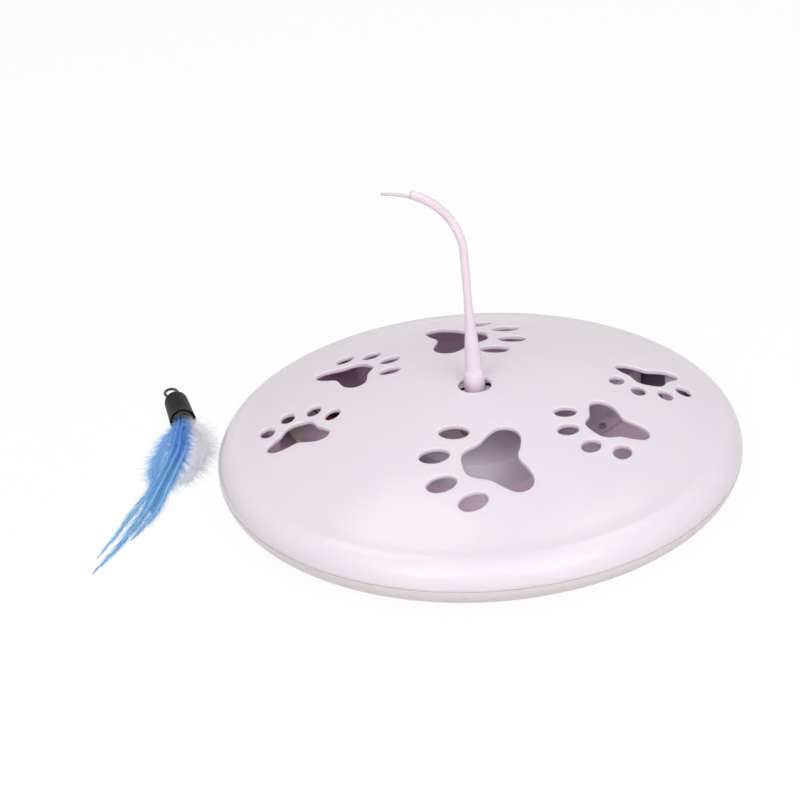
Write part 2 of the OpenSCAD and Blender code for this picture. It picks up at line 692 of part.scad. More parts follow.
module gearbox_cover() {
    ear_hole_d = inner_screw_d + 2 * fit_gap;
    color(shell_white) difference() {
        union() {
            translate([0, 0, floor_z]) cylinder(r = gearbox_r, h = gearbox_h + plate_t);
            for (a = ear_angles) rotate([0, 0, a]) translate([gearbox_r, 0, floor_z + ear_post_h]) {
                translate([ear_out, 0, 0]) cylinder(d = ear_d, h = ear_t);
                translate([-gearbox_wall / 2, -ear_d / 2, 0])
                    cube([ear_out + gearbox_wall / 2, ear_d, ear_t]);
            }
        }
        translate([0, 0, floor_z - over]) cylinder(r = gearbox_r - gearbox_wall, h = gearbox_h + over);
        for (a = ear_angles) at_polar(ear_r, a) {
            translate([0, 0, floor_z]) cylinder(d = ear_hole_d, h = gearbox_h, $fn = 48);
            translate([0, 0, floor_z - tiny]) cylinder(d = post_d + 2 * fit_gap, h = ear_post_h + tiny);
            translate([0, 0, floor_z + ear_post_h + ear_t])
                cylinder(d = inner_head_d + 2 * fit_gap, h = inner_head_h + over);
        }
        translate([0, 0, plate_z - over]) {
            cylinder(d = hub_d + 2 * bush_wall, h = plate_t + 2 * over);
            translate(motor_xy) cylinder(d = motor_nose_d + 2 * fit_gap, h = plate_t + 2 * over);
            translate([idler_x, 0, 0]) cylinder(d = idler_axle_d, h = axle_sink + over, $fn = 48);
        }
        at_motor() for (s = [-1, 1]) translate([0, s * clip_screw_y, plate_z - over])
            cylinder(d = inner_screw_d, h = plate_t + 2 * over, $fn = 48);
    }
}
module gearbox_screws() {
    color(steel) for (a = ear_angles) at_polar(ear_r, a)
        translate([0, 0, floor_z + ear_post_h + ear_t + inner_head_h])
            screw_down(inner_screw_d, inner_head_d, inner_head_h, ear_t + ear_post_h - tip_gap, $fn = 32);
}

// Motor
clip_screw_y = motor_flat / 2 + clip_gap + clip_t + clip_foot / 2;
module at_motor() { translate(motor_xy) rotate([0, 0, motor_turn]) children(); }
module motor_plan(grow) {
    intersection() {
        circle(d = motor_d + 2 * grow);
        square([2 * motor_d, motor_flat + 2 * grow], center = true);
    }
}
module motor_can() {
    bore_d = motor_shaft_d + 2 * running_gap;
    color(steel) at_motor() difference() {
        union() {
            translate([0, 0, plate_top_z]) linear_extrude(height = motor_len) motor_plan(0);
            translate([0, 0, plate_top_z - motor_nose_h])
                cylinder(d = motor_nose_d, h = motor_nose_h + tiny);
        }
        translate([0, 0, plate_z]) cylinder(d = bore_d, h = motor_len, $fn = 48);
    }
}
module motor_end_cap() {
    color("dimgray") at_motor() translate([0, 0, plate_top_z + motor_len])
        linear_extrude(height = motor_cap_t) motor_plan(0);
}
module motor_terminals() {
    color("goldenrod") at_motor() for (s = [-1, 1])
        translate([s * terminal_offset - terminal_t / 2, -terminal_w / 2, motor_top_z])
            cube([terminal_t, terminal_w, terminal_h]);
}
module motor_clip() {
    reach = motor_flat / 2 + clip_gap;
    leg_h = motor_top_z - plate_top_z;
    color(steel) at_motor() difference() {
        union() {
            translate([-clip_w / 2, -reach - clip_t, motor_top_z])
                cube([clip_w, 2 * (reach + clip_t), clip_t]);
            for (s = [0, 1]) mirror([0, s, 0]) {
                translate([-clip_w / 2, reach, plate_top_z]) {
                    cube([clip_w, clip_t, leg_h + tiny]);
                    cube([clip_w, clip_t + clip_foot, clip_t]);
                }
            }
        }
        for (s = [-1, 1]) translate([0, s * clip_screw_y, plate_z])
            cylinder(d = inner_screw_d + 2 * fit_gap, h = 2 * plate_t, $fn = 48);
    }
}
module motor_clip_screws() {
    color(steel) at_motor() for (s = [-1, 1])
        translate([0, s * clip_screw_y, plate_top_z + clip_t + inner_head_h])
            screw_down(inner_screw_d, inner_head_d, inner_head_h, clip_t + plate_t - tip_gap, $fn = 32);
}
module motor_shaft() {
    color(steel) translate([motor_xy[0], motor_xy[1], gear_high_z])
        cylinder(d = motor_shaft_d, h = plate_z + motor_len / 2 - gear_high_z, $fn = 48);
}
module motor_pinion() {
    color("goldenrod") translate([motor_xy[0], motor_xy[1], gear_high_z + pinion_short / 2]) difference() {
        rotate([0, 0, motor_bearing + 180]) pinion(pinion_face);
        translate([0, 0, -over]) cylinder(d = motor_shaft_d, h = pinion_face + 2 * over, $fn = 48);
    }
}

// Batteries
module battery_holder() {
    roof_z = bay_top_z + holder_wall;
    color(shell_white) in_bay() difference() {
        union() {
            translate([0, 0, floor_z]) linear_extrude(height = flange_t)
                square([bay_w + 2 * flange_side, bay_l + 2 * flange_end], center = true);
            translate([0, 0, floor_z]) linear_extrude(height = roof_z - floor_z)
                rounded_rect(bay_w + 2 * holder_wall, bay_l + 2 * holder_wall, holder_wall);
            translate([0, -door_ear_y, floor_z]) cylinder(r = door_ear_r, h = door_post_h);
        }
        translate([0, 0, floor_z - over]) linear_extrude(height = bay_top_z - floor_z + over)
            square([bay_w, bay_l], center = true);
        translate([0, -door_ear_y, floor_z - over])
            cylinder(d = inner_screw_d + 2 * running_gap, h = door_post_h + over - pilot_skin, $fn = 48);
        for (p = holder_screws_xy) translate([p[0], p[1], 0])
            cylinder(d = inner_screw_d + 2 * fit_gap, h = crown_z, $fn = 48);
    }
}
module holder_screws() {
    color(steel) in_bay() for (p = holder_screws_xy)
        translate([p[0], p[1], floor_z + flange_t + inner_head_h])
            screw_down(inner_screw_d, inner_head_d, inner_head_h,
                flange_t + base_wall - pilot_skin - tip_gap, $fn = 32);
}
module battery_cell(i) {
    flip = i % 2;
    color(i == 1 ? "darkgoldenrod" : "saddlebrown") in_bay()
        translate([(i - (cell_count - 1) / 2) * cell_pitch, 0, cell_z]) mirror([0, flip, 0])
            translate([0, -bay_l / 2 + leaf_room, 0]) rotate([-90, 0, 0]) {
                cylinder(d = cell_d, h = cell_len - button_h);
                cylinder(d = button_d, h = cell_len, $fn = 48);
            }
}
module bay_end(i, sign) {
    flip = i % 2 == 0 ? 1 : -1;
    in_bay() translate([(i - (cell_count - 1) / 2) * cell_pitch, 0, cell_z])
        mirror([0, sign * flip > 0 ? 0 : 1, 0]) children();
}
module contact_plates() {
    color("silver") for (i = [0:cell_count - 1]) bay_end(i, 1)
        translate([-contact_w / 2, bay_l / 2 - plate_room, -contact_h / 2])
            cube([contact_w, plate_room, contact_h]);
}
module contact_leaves() {
    color("silver") for (i = [0:cell_count - 1]) bay_end(i, -1)
        translate([-leaf_w / 2, bay_l / 2, -contact_h / 2]) {
            translate([0, -leaf_t, 0]) cube([leaf_w, leaf_t, contact_h]);
            translate([0, -leaf_room, 0]) cube([leaf_w, leaf_room, leaf_t]);
            translate([0, -leaf_room, 0]) cube([leaf_w, leaf_t, leaf_tongue]);
        }
}
module battery_door() {
    head_room = inner_head_h + door_head_sink;
    color(shell_white) in_bay() difference() {
        translate([0, 0, stand_z]) linear_extrude(height = base_wall) door_plan(0);
        translate([0, -door_ear_y, 0]) {
            cylinder(d = inner_screw_d, h = crown_z, $fn = 48);
            translate([0, 0, stand_z - over])
                cylinder(d = inner_head_d + 2 * fit_gap, h = head_room + over, $fn = 48);
        }
        for (k = [0:grip_count - 1]) translate([0, k * grip_pitch + door_l / 4 - grip_pitch, stand_z - over])
            linear_extrude(height = over + grip_depth) square([grip_w, grip_t], center = true);
    }
}
module door_screw() {
    color(steel) in_bay() translate([0, -door_ear_y, stand_z + door_head_sink])
        screw(inner_screw_d, inner_head_d, inner_head_h, base_wall + door_post_h / 3, $fn = 32);
}

// Board, switch and wires
module circuit_board() {
    color(ivory) on_board() difference() {
        translate([0, 0, board_z]) linear_extrude(height = board_t) polygon(board_outline);
        for (p = board_posts) translate(p) cylinder(d = inner_screw_d + 2 * fit_gap, h = crown_z, $fn = 48);
    }
}
module board_screws() {
    color(steel) on_board() for (p = board_posts) translate([p[0], p[1], board_z + board_t + inner_head_h])
        screw_down(inner_screw_d, inner_head_d, inner_head_h, board_t + board_lift - over, $fn = 32);
}
module timer_chip() {
    color(soft_black) on_board() translate([chip_xy[0], chip_xy[1], board_z + board_t]) cube(chip_size);
}
module board_capacitor() {
    color(soft_black) on_board() translate([capacitor_xy[0], capacitor_xy[1], board_z + board_t])
        cylinder(d = capacitor_d, h = capacitor_h);
}
module board_resistors() {
    color("peru") on_board() for (k = [0:resistor_count - 1])
        translate([resistor_xy[0], resistor_xy[1] + resistor_pitch * k, board_z + board_t])
            cube(resistor_size);
}
module switch_body() {
    color(soft_black) translate([switch_xy[0], switch_xy[1], floor_z]) difference() {
        translate([-switch_w / 2, -switch_l / 2, 0]) cube([switch_w, switch_l, switch_h]);
        translate([0, 0, -over]) linear_extrude(height = switch_h - switch_roof + over) knob_slot();
    }
}
module switch_knob() {
    knob_low = stand_z - knob_drop;
    knob_h = floor_z + switch_h - switch_roof - seat_gap - knob_low;
    color("dimgray") translate([switch_xy[0], switch_xy[1] - switch_travel / 2, 0]) difference() {
        translate([-knob_w / 2, -knob_l / 2, knob_low]) cube([knob_w, knob_l, knob_h]);
        for (k = [-1:1]) translate([-knob_w, k * knob_groove_pitch - knob_groove_w / 2, knob_low - over])
            cube([2 * knob_w, knob_groove_w, over + knob_groove_depth]);
    }
}
module wire(route) { round_tube(smooth_line(route, wire_steps), wire_d, wire_sides, [0, 1, 0.2]); }
module battery_wire_red() { color("firebrick") wire(battery_red_route); }
module battery_wire_black() { color(soft_black) wire(battery_black_route); }
module motor_wire_red() { color("firebrick") wire(motor_red_route); }
module motor_wire_black() { color(soft_black) wire(motor_black_route); }

// Tail
module tail_ferrule() {
    color([0.95, 0.89, 0.93]) {
        translate([0, 0, ferrule_z - stem_len]) cylinder(d = stem_d, h = stem_len + tiny, $fn = 48);
        translate([0, 0, ferrule_z]) cylinder(d = ferrule_d, h = ferrule_h - ferrule_chamfer);
        translate([0, 0, tail_z - ferrule_chamfer - tiny])
            cylinder(d1 = ferrule_d, d2 = tail_root_d, h = ferrule_chamfer + tiny);
    }
}
// The tail's line in its own plane: straight, round the bend, then straight to the tip
function tail_plan() = let (end = tail_bend_r * [1 - cos(tail_bend), sin(tail_bend)]) concat(
    [for (i = [0:tail_rings_rise]) [0, tail_rise * i / tail_rings_rise]],
    [for (i = [1:tail_rings_bend]) let (a = tail_bend * i / tail_rings_bend)
        [tail_bend_r * (1 - cos(a)), tail_rise + tail_bend_r * sin(a)]],
    [for (i = [1:tail_rings_tip]) let (s = tail_tip_len * i / tail_rings_tip)
        [end[0] + s * sin(tail_bend), tail_rise + end[1] + s * cos(tail_bend)]]);
function tail_line() = [for (p = tail_plan())
    [-p[0] * cos(tail_lean) - p[1] * sin(tail_lean), 0,
        tail_foot_z + p[1] * cos(tail_lean) - p[0] * sin(tail_lean)]];
tail_full = tail_rise + tail_bend_r * tail_bend * PI / 180 + tail_tip_len;
// Diameter of the tail at a share of its length: quick taper, slim waist, a little fuller at the fork
function tail_d(t, fork_t) = t < tail_waist_at
    ? lerp(tail_root_d, tail_waist_d, pow(sin(90 * t / tail_waist_at), 0.8))
    : lerp(tail_waist_d, tail_fork_d, (t - tail_waist_at) / (fork_t - tail_waist_at));
function run_length(p, i) = i == 0 ? 0 : run_length(p, i - 1) + norm(p[i] - p[i - 1]);
// Direction out of the bend, square to the tail
function tail_out(line, i) = cross([0, 1, 0], heading(line, i));
module tail_wand() {
    line = tail_line();
    last = len(line) - 1;
    fork_t = run_length(line, fork_ring) / tail_full;
    halves = [for (i = [0:fork_ring]) tail_d(run_length(line, i) / tail_full, fork_t) / 2];
    // The prong starts inside the tail and runs on along its inner edge
    prong_ring = fork_ring - prong_rings_inside;
    prong_share = [for (i = [prong_ring:last]) (i - prong_ring) / (last - prong_ring)];
    prong = [for (i = [prong_ring:last]) line[i] - tail_out(line, i) * prong_drop];
    prong_halves = [for (t = prong_share) lerp(prong_d, tail_tip_d, t) / 2];
    // The barb lies along the outer edge and ends in a point past the cut
    barb_halves = [for (k = [0:barb_rings]) lerp(barb_d, barb_tip_d, k / barb_rings) / 2];
    way = heading(line, prong_ring);
    barb_len = norm(line[fork_ring] - line[prong_ring]) + barb_overhang;
    barb = [for (k = [0:barb_rings]) let (t = k / barb_rings)
        line[prong_ring] + way * barb_len * t
            + tail_out(line, prong_ring) * (tail_fork_d / 2 - barb_halves[k] - barb_lift * (1 - t))];
    color([0.95, 0.87, 0.92]) union() {
        sweep([for (i = [0:fork_ring]) line[i]], halves, halves, tail_sides);
        sweep(prong, prong_halves, prong_halves, tail_sides);
        sweep(barb, barb_halves, barb_halves, barb_sides);
    }
}

// Lure
module in_lure() { translate([-lure_left, lure_back, 0]) rotate([0, 0, lure_turn]) children(); }
module on_cap_axis() { translate([0, 0, cap_axis_z]) rotate([0, 90 - cap_slope, 0]) children(); }
function cap_d(along) = lure_crown_d + (lure_mouth_d - lure_crown_d) * along / lure_cap_len;
function socket_d(along) = cap_d(along) - 2 * lure_wall;
module lure_cap() {
    dome_at = lure_crown_d / 2;
    color(soft_black) in_lure() on_cap_axis() difference() {
        union() {
            translate([0, 0, dome_at])
                cylinder(d1 = cap_d(dome_at), d2 = lure_mouth_d, h = lure_cap_len - dome_at);
            intersection() {
                translate([0, 0, dome_at]) sphere(d = cap_d(dome_at) - tiny);
                translate([0, 0, -over]) cylinder(d = lure_mouth_d, h = dome_at + over + tiny);
            }
        }
        translate([0, 0, plug_back])
            cylinder(d1 = socket_d(plug_back), d2 = socket_d(plug_back + lure_cap_len), h = lure_cap_len);
    }
}
module quill_plug() {
    color([0.75, 0.72, 0.62]) in_lure() on_cap_axis() translate([0, 0, plug_back])
        cylinder(d1 = socket_d(plug_back), d2 = socket_d(plug_back + plug_t), h = plug_t);
}
module lure_loop() {
    color(soft_black) in_lure() round_tube(loop_route, lure_cord_d, loop_sides, [0, 0, 1]);
}
// A feather's solid along its stations
module feather(stations, tint) {
    line = smooth_line(stations, feather_steps);
    color(tint) in_lure() sweep([for (p = line) [mouth_x + p[0], p[1], mouth_z + p[2]]],
        [for (p = line) plume_w * p[3]], [for (p = line) p[4]], feather_sides);
}
module blue_plume() { feather(blue_stations, feather_blue); }
module white_plume() { feather(white_stations, "whitesmoke"); }
module pale_plume() { feather(pale_stations, [0.6, 0.8, 0.97]); }
module long_feather(i) { feather(long_stations[i], feather_blue); }

base_tray();
top_cover();
cover_screws();
foot([0, 0]);  // foot_centre
outer_foot(0);  // foot_1
outer_foot(1);  // foot_2
outer_foot(2);  // foot_3
outer_foot(3);  // foot_4
gearbox_cover();
gearbox_screws();
output_bush();
output_axle();
idler_axle();
output_gear();
idler_gear();
motor_can();
motor_end_cap();
motor_terminals();
motor_clip();
motor_clip_screws();
motor_shaft();
motor_pinion();
battery_holder();
holder_screws();
battery_cell(0);  // battery_cell_1
battery_cell(1);  // battery_cell_2
battery_cell(2);  // battery_cell_3
contact_plates();
contact_leaves();
battery_door();
door_screw();
circuit_board();
board_screws();
timer_chip();
board_capacitor();
board_resistors();
switch_body();
switch_knob();
battery_wire_red();
battery_wire_black();
motor_wire_red();
motor_wire_black();
tail_ferrule();
tail_wand();
lure_cap();
quill_plug();
lure_loop();
blue_plume();
white_plume();
pale_plume();
long_feather(0);  // long_feather_1
long_feather(1);  // long_feather_2
long_feather(2);  // long_feather_3
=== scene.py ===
import math

import bmesh
import bpy
import numpy as np
from mathutils import Matrix, Vector
from mathutils.geometry import delaunay_2d_cdt


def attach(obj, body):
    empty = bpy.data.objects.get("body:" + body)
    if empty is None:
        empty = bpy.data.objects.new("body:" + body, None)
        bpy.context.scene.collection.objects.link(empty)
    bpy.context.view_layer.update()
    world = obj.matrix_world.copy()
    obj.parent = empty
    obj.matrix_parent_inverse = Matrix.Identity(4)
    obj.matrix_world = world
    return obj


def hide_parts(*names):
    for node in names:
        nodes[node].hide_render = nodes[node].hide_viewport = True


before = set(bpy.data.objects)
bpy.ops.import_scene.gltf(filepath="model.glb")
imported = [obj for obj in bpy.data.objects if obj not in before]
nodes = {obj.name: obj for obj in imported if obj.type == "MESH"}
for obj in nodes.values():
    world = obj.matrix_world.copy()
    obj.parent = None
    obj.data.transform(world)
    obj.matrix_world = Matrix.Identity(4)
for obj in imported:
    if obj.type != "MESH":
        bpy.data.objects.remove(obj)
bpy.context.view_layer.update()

scene = bpy.context.scene
scene.view_settings.view_transform = "Standard"
mm = 0.001
print("frame loaded:", len(nodes), "solids")

# camera
cameraSpec = {
    "place": (0.0, -0.7339, 0.4405),
    "right": (0.9975, 0.0106, -0.0694),
    "up": (0.0557, 0.4818, 0.8745),
    "lens": 79.44,
    "sensor": 36.0,
}


def linkObject(name, data):
    obj = bpy.data.objects.new(name, data)
    scene.collection.objects.link(obj)
    return obj


def makeCamera(spec):
    data = bpy.data.cameras.new("photoCamera")
    data.lens = spec["lens"]
    data.sensor_width = spec["sensor"]
    data.clip_start = 0.01
    data.clip_end = 60
    right = Vector(spec["right"]).normalized()
    back = right.cross(Vector(spec["up"])).normalized()
    up = back.cross(right)
    turn = Matrix((right, up, back)).transposed().to_4x4()
    obj = linkObject("photoCamera", data)
    obj.matrix_world = Matrix.Translation(spec["place"]) @ turn
    scene.camera = obj


makeCamera(cameraSpec)
print("camera set")


# small drawing helpers, all in millimetres until a mesh is made
def catmull(a, b, c, d, t):
    square = 2 * a - 5 * b + 4 * c - d
    cube = 3 * b - a - 3 * c + d
    return 0.5 * (2 * b + (c - a) * t + square * t * t + cube * t ** 3)


def smoothLine(points, steps, closed=False):
    p = [np.array(q, float) for q in points]
    n = len(p)
    line = []
    for i in range(n if closed else n - 1):
        near = range(i - 1, i + 3)
        a, b, c, d = [p[j % n] if closed else p[min(max(j, 0), n - 1)] for j in near]
        line += [catmull(a, b, c, d, k / steps) for k in range(steps)]
    return np.array(line if closed else line + [p[-1]])


def runLengths(line):
    return np.concatenate([[0], np.cumsum(np.linalg.norm(np.diff(line, axis=0), axis=1))])


def evenRing(ring, spacing):
    closed = np.vstack([ring, ring[:1]])
    run = runLengths(closed)
    at = np.linspace(0, run[-1], int(round(run[-1] / spacing)), endpoint=False)
    return np.stack([np.interp(at, run, closed[:, axis]) for axis in (0, 1)], axis=1)


def headings(line):
    ahead = np.roll(line, -1, axis=0)
    behind = np.roll(line, 1, axis=0)
    ahead[-1] = line[-1]
    behind[0] = line[0]
    way = ahead - behind
    return way / np.linalg.norm(way, axis=1)[:, None]


def tubeShape(line, radii, count, start=(0, 1, 0)):
    way = headings(line)
    side = np.array(start, float)
    verts = []
    for i, p in enumerate(line):
        side = side - side.dot(way[i]) * way[i]
        side = side / np.linalg.norm(side)
        lift = np.cross(way[i], side)
        for k in range(count):
            a = 2 * math.pi * k / count
            verts.append(p + radii[i] * (side * math.cos(a) + lift * math.sin(a)))
    last = len(line) - 1
    faces = []
    for i in range(last):
        for k in range(count):
            a = i * count + k
            b = i * count + (k + 1) % count
            faces.append((a, b, b + count, a + count))
    faces.append(tuple(range(count - 1, -1, -1)))
    faces.append(tuple(range(last * count, last * count + count)))
    return verts, faces


def latheShape(profile, count):
    verts, rings, faces = [], [], []
    for r, z in profile:
        if r < 1e-6:
            rings.append([len(verts)])
            verts.append((0, 0, z))
            continue
        rings.append(list(range(len(verts), len(verts) + count)))
        for k in range(count):
            a = 2 * math.pi * k / count
            verts.append((r * math.cos(a), r * math.sin(a), z))
    for low, high in zip(rings, rings[1:]):
        for k in range(count):
            j = k + 1
            quad = (low[k % len(low)], low[j % len(low)], high[j % len(high)], high[k % len(high)])
            face = tuple(dict.fromkeys(quad))
            if len(face) > 2:
                faces.append(face)
    return verts, faces


def arcPoints(centre, radius, start, end, steps):
    points = []
    for k in range(steps + 1):
        a = math.radians(start + (end - start) * k / steps)
        points.append((centre[0] + radius * math.cos(a), centre[1] + radius * math.sin(a)))
    return points


def meshFrom(name, shapes, place=None, crease=35):
    bm = bmesh.new()
    for verts, faces in shapes:
        made = [bm.verts.new(Vector(v) * mm) for v in verts]
        for face in faces:
            bm.faces.new([made[i] for i in face])
    bmesh.ops.remove_doubles(bm, verts=bm.verts, dist=1e-7)
    bmesh.ops.recalc_face_normals(bm, faces=bm.faces)
    if place is not None:
        bm.transform(place)
    mesh = bpy.data.meshes.new(name)
    bm.to_mesh(mesh)
    bm.free()
    mesh.shade_smooth()
    mesh.set_sharp_from_angle(angle=math.radians(crease))
    return mesh


def dress(obj, material):
    obj.data.materials.clear()
    obj.data.materials.append(material)


def addPiece(name, mesh, material, body, slotName, *stoodFor):
    obj = linkObject(name, mesh)
    if material is not None:
        dress(obj, material)
    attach(obj, body)
    if stoodFor:
        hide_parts(*stoodFor)
    return obj


# node helpers: a plain value is set on a socket, an output is linked to it
def wire(tree, source, target):
    if isinstance(source, (int, float, tuple, str)):
        target.default_value = source
    else:
        tree.links.new(source, target)


def addNode(tree, kind, inputs=None, **settings):
    node = tree.nodes.new(kind)
    for label, value in settings.items():
        setattr(node, label, value)
    for label, source in (inputs or {}).items():
        wire(tree, source, node.inputs[label])
    return node


def mathNode(tree, operation, *values):
    return addNode(tree, "ShaderNodeMath", dict(enumerate(values)), operation=operation).outputs[0]


def vectorNode(tree, operation, inputs, output="Vector"):
    return addNode(tree, "ShaderNodeVectorMath", inputs, operation=operation).outputs[output]


def noiseNode(tree, vector, scale, detail, rough=0.5):
    inputs = {"Vector": vector, "Scale": scale, "Detail": detail, "Roughness": rough}
    return addNode(tree, "ShaderNodeTexNoise", inputs).outputs["Fac"]


def stretched(tree, vector, factors):
    return addNode(tree, "ShaderNodeMapping", {"Vector": vector, "Scale": factors}).outputs["Vector"]


def spanNode(tree, value, low, high, start=0.0, end=1.0):
    inputs = {"Value": value, "From Min": start, "From Max": end, "To Min": low, "To Max": high}
    return addNode(tree, "ShaderNodeMapRange", inputs).outputs["Result"]


def objectPlace(tree):
    return addNode(tree, "ShaderNodeTexCoord").outputs["Object"]


def axisOf(tree, vector, axis):
    return addNode(tree, "ShaderNodeSeparateXYZ", {0: vector}).outputs[axis]


def attributeFactor(tree, name):
    return addNode(tree, "ShaderNodeAttribute", attribute_name=name).outputs["Fac"]


def mixColours(tree, factor, first, second):
    inputs = {"Factor": factor, 6: first, 7: second}
    return addNode(tree, "ShaderNodeMix", inputs, data_type="RGBA").outputs[2]


def mixShaders(tree, share, first, second):
    inputs = {0: share, 1: first.outputs[0], 2: second.outputs[0]}
    mixer = addNode(tree, "ShaderNodeMixShader", inputs)
    wire(tree, mixer.outputs[0], tree.nodes["Material Output"].inputs["Surface"])


def toLinear(value):
    c = value / 255
    return c / 12.92 if c <= 0.04045 else ((c + 0.055) / 1.055) ** 2.4


def tint(red, green, blue):
    return (toLinear(red), toLinear(green), toLinear(blue), 1.0)


# shader groups
def newGroup(name, inputs, outputs):
    group = bpy.data.node_groups.new(name, "ShaderNodeTree")
    for label, value in inputs.items():
        socket = group.interface.new_socket(label, in_out="INPUT", socket_type="NodeSocketFloat")
        socket.default_value = value
    for label in outputs:
        group.interface.new_socket(label, in_out="OUTPUT", socket_type="NodeSocketFloat")
    given = group.nodes.new("NodeGroupInput").outputs
    out = group.nodes.new("NodeGroupOutput").inputs
    return group, given, out


def buildGrainGroup():
    scales = {"Scale": 900.0, "Patch Scale": 30.0}
    group, given, out = newGroup("mouldGrain", scales, ("Height", "Tone"))
    where = objectPlace(group)
    fine = noiseNode(group, where, given["Scale"], 3.0)
    broad = noiseNode(group, where, given["Patch Scale"], 2.0)
    wire(group, fine, out["Height"])
    wire(group, spanNode(group, broad, 0, 1, 0.3, 0.7), out["Tone"])
    return group


def buildMarksGroup():
    group, given, out = newGroup("handlingMarks", {"Scale": 60.0}, ("Mask",))
    where = objectPlace(group)
    rub = noiseNode(group, stretched(group, where, (1, 7, 2)), given["Scale"], 4.0, 0.65)
    smear = noiseNode(group, where, mathNode(group, "MULTIPLY", given["Scale"], 0.3), 2.0)
    rubbed = spanNode(group, rub, 0, 1, 0.45, 0.75)
    smeared = spanNode(group, smear, 0, 1, 0.35, 0.7)
    wire(group, mathNode(group, "MULTIPLY", rubbed, smeared), out["Mask"])
    return group


def buildBrushGroup():
    group, given, out = newGroup("drawnLines", {"Scale": 500.0}, ("Height", "Tone"))
    drawn = stretched(group, objectPlace(group), (1, 1, 0.06))
    lines = noiseNode(group, drawn, given["Scale"], 4.0, 0.6)
    wire(group, lines, out["Height"])
    wire(group, spanNode(group, lines, 0, 1, 0.35, 0.65), out["Tone"])
    return group


def buildBraidGroup():
    group, given, out = newGroup("cordBraid", {"Turns": 60.0, "Strands": 4.0}, ("Height", "Tone"))
    uv = addNode(group, "ShaderNodeUVMap").outputs["UV"]
    around = mathNode(group, "MULTIPLY", axisOf(group, uv, "X"), given["Strands"])
    along = mathNode(group, "MULTIPLY", axisOf(group, uv, "Y"), given["Turns"])
    waves = []
    for operation in ("ADD", "SUBTRACT"):
        phase = mathNode(group, operation, around, along)
        waves.append(mathNode(group, "SINE", mathNode(group, "MULTIPLY", phase, 2 * math.pi)))
    weave = mathNode(group, "MAXIMUM", *waves)
    wire(group, weave, out["Height"])
    wire(group, spanNode(group, weave, 0, 1, -0.2, 1), out["Tone"])
    return group


def buildFeatherGroup():
    # how far a spot is along the shaft and along its barb, and a tone of its own for each barb
    fade = {"Fade Start": 0.2, "Fade End": 0.8}
    group, given, out = newGroup("featherTone", fade, ("Along", "Tip", "Streak"))
    shaft = attributeFactor(group, "shaft")
    clump = noiseNode(group, objectPlace(group), 260.0, 2.0)
    each = mathNode(group, "MULTIPLY", attributeFactor(group, "lay"), 0.5)
    streak = mathNode(group, "ADD", each, mathNode(group, "MULTIPLY", clump, 0.5))
    wire(group, spanNode(group, shaft, 0, 1, given["Fade Start"], given["Fade End"]), out["Along"])
    wire(group, spanNode(group, attributeFactor(group, "barb"), 0, 1, 0.25, 0.95), out["Tip"])
    wire(group, spanNode(group, streak, 0, 1, 0.25, 0.75), out["Streak"])
    return group


grainGroup = buildGrainGroup()
marksGroup = buildMarksGroup()
brushGroup = buildBrushGroup()
braidGroup = buildBraidGroup()
featherGroup = buildFeatherGroup()


def placeGroup(tree, group, **values):
    inputs = {label.replace("_", " "): value for label, value in values.items()}
    return addNode(tree, "ShaderNodeGroup", inputs, node_tree=group).outputs


def newMaterial(name, settings):
    material = bpy.data.materials.new(name)
    material.use_nodes = True
    tree = material.node_tree
    shader = tree.nodes["Principled BSDF"]
    for label, value in settings.items():
        shader.inputs[label].default_value = value
    return material, tree, shader


def paint(tree, shader, colour, rough, height, strength, distance):
    # the colour, roughness and relief of a surface
    wire(tree, colour, shader.inputs["Base Color"])
    wire(tree, rough, shader.inputs["Roughness"])
    relief = {"Height": height, "Strength": strength, "Distance": distance}
    wire(tree, addNode(tree, "ShaderNodeBump", relief).outputs["Normal"], shader.inputs["Normal"])


# height of the relief in metres at full strength
reliefDepth = {"mould": 0.0002, "metal": 0.0001, "cord": 0.0002}
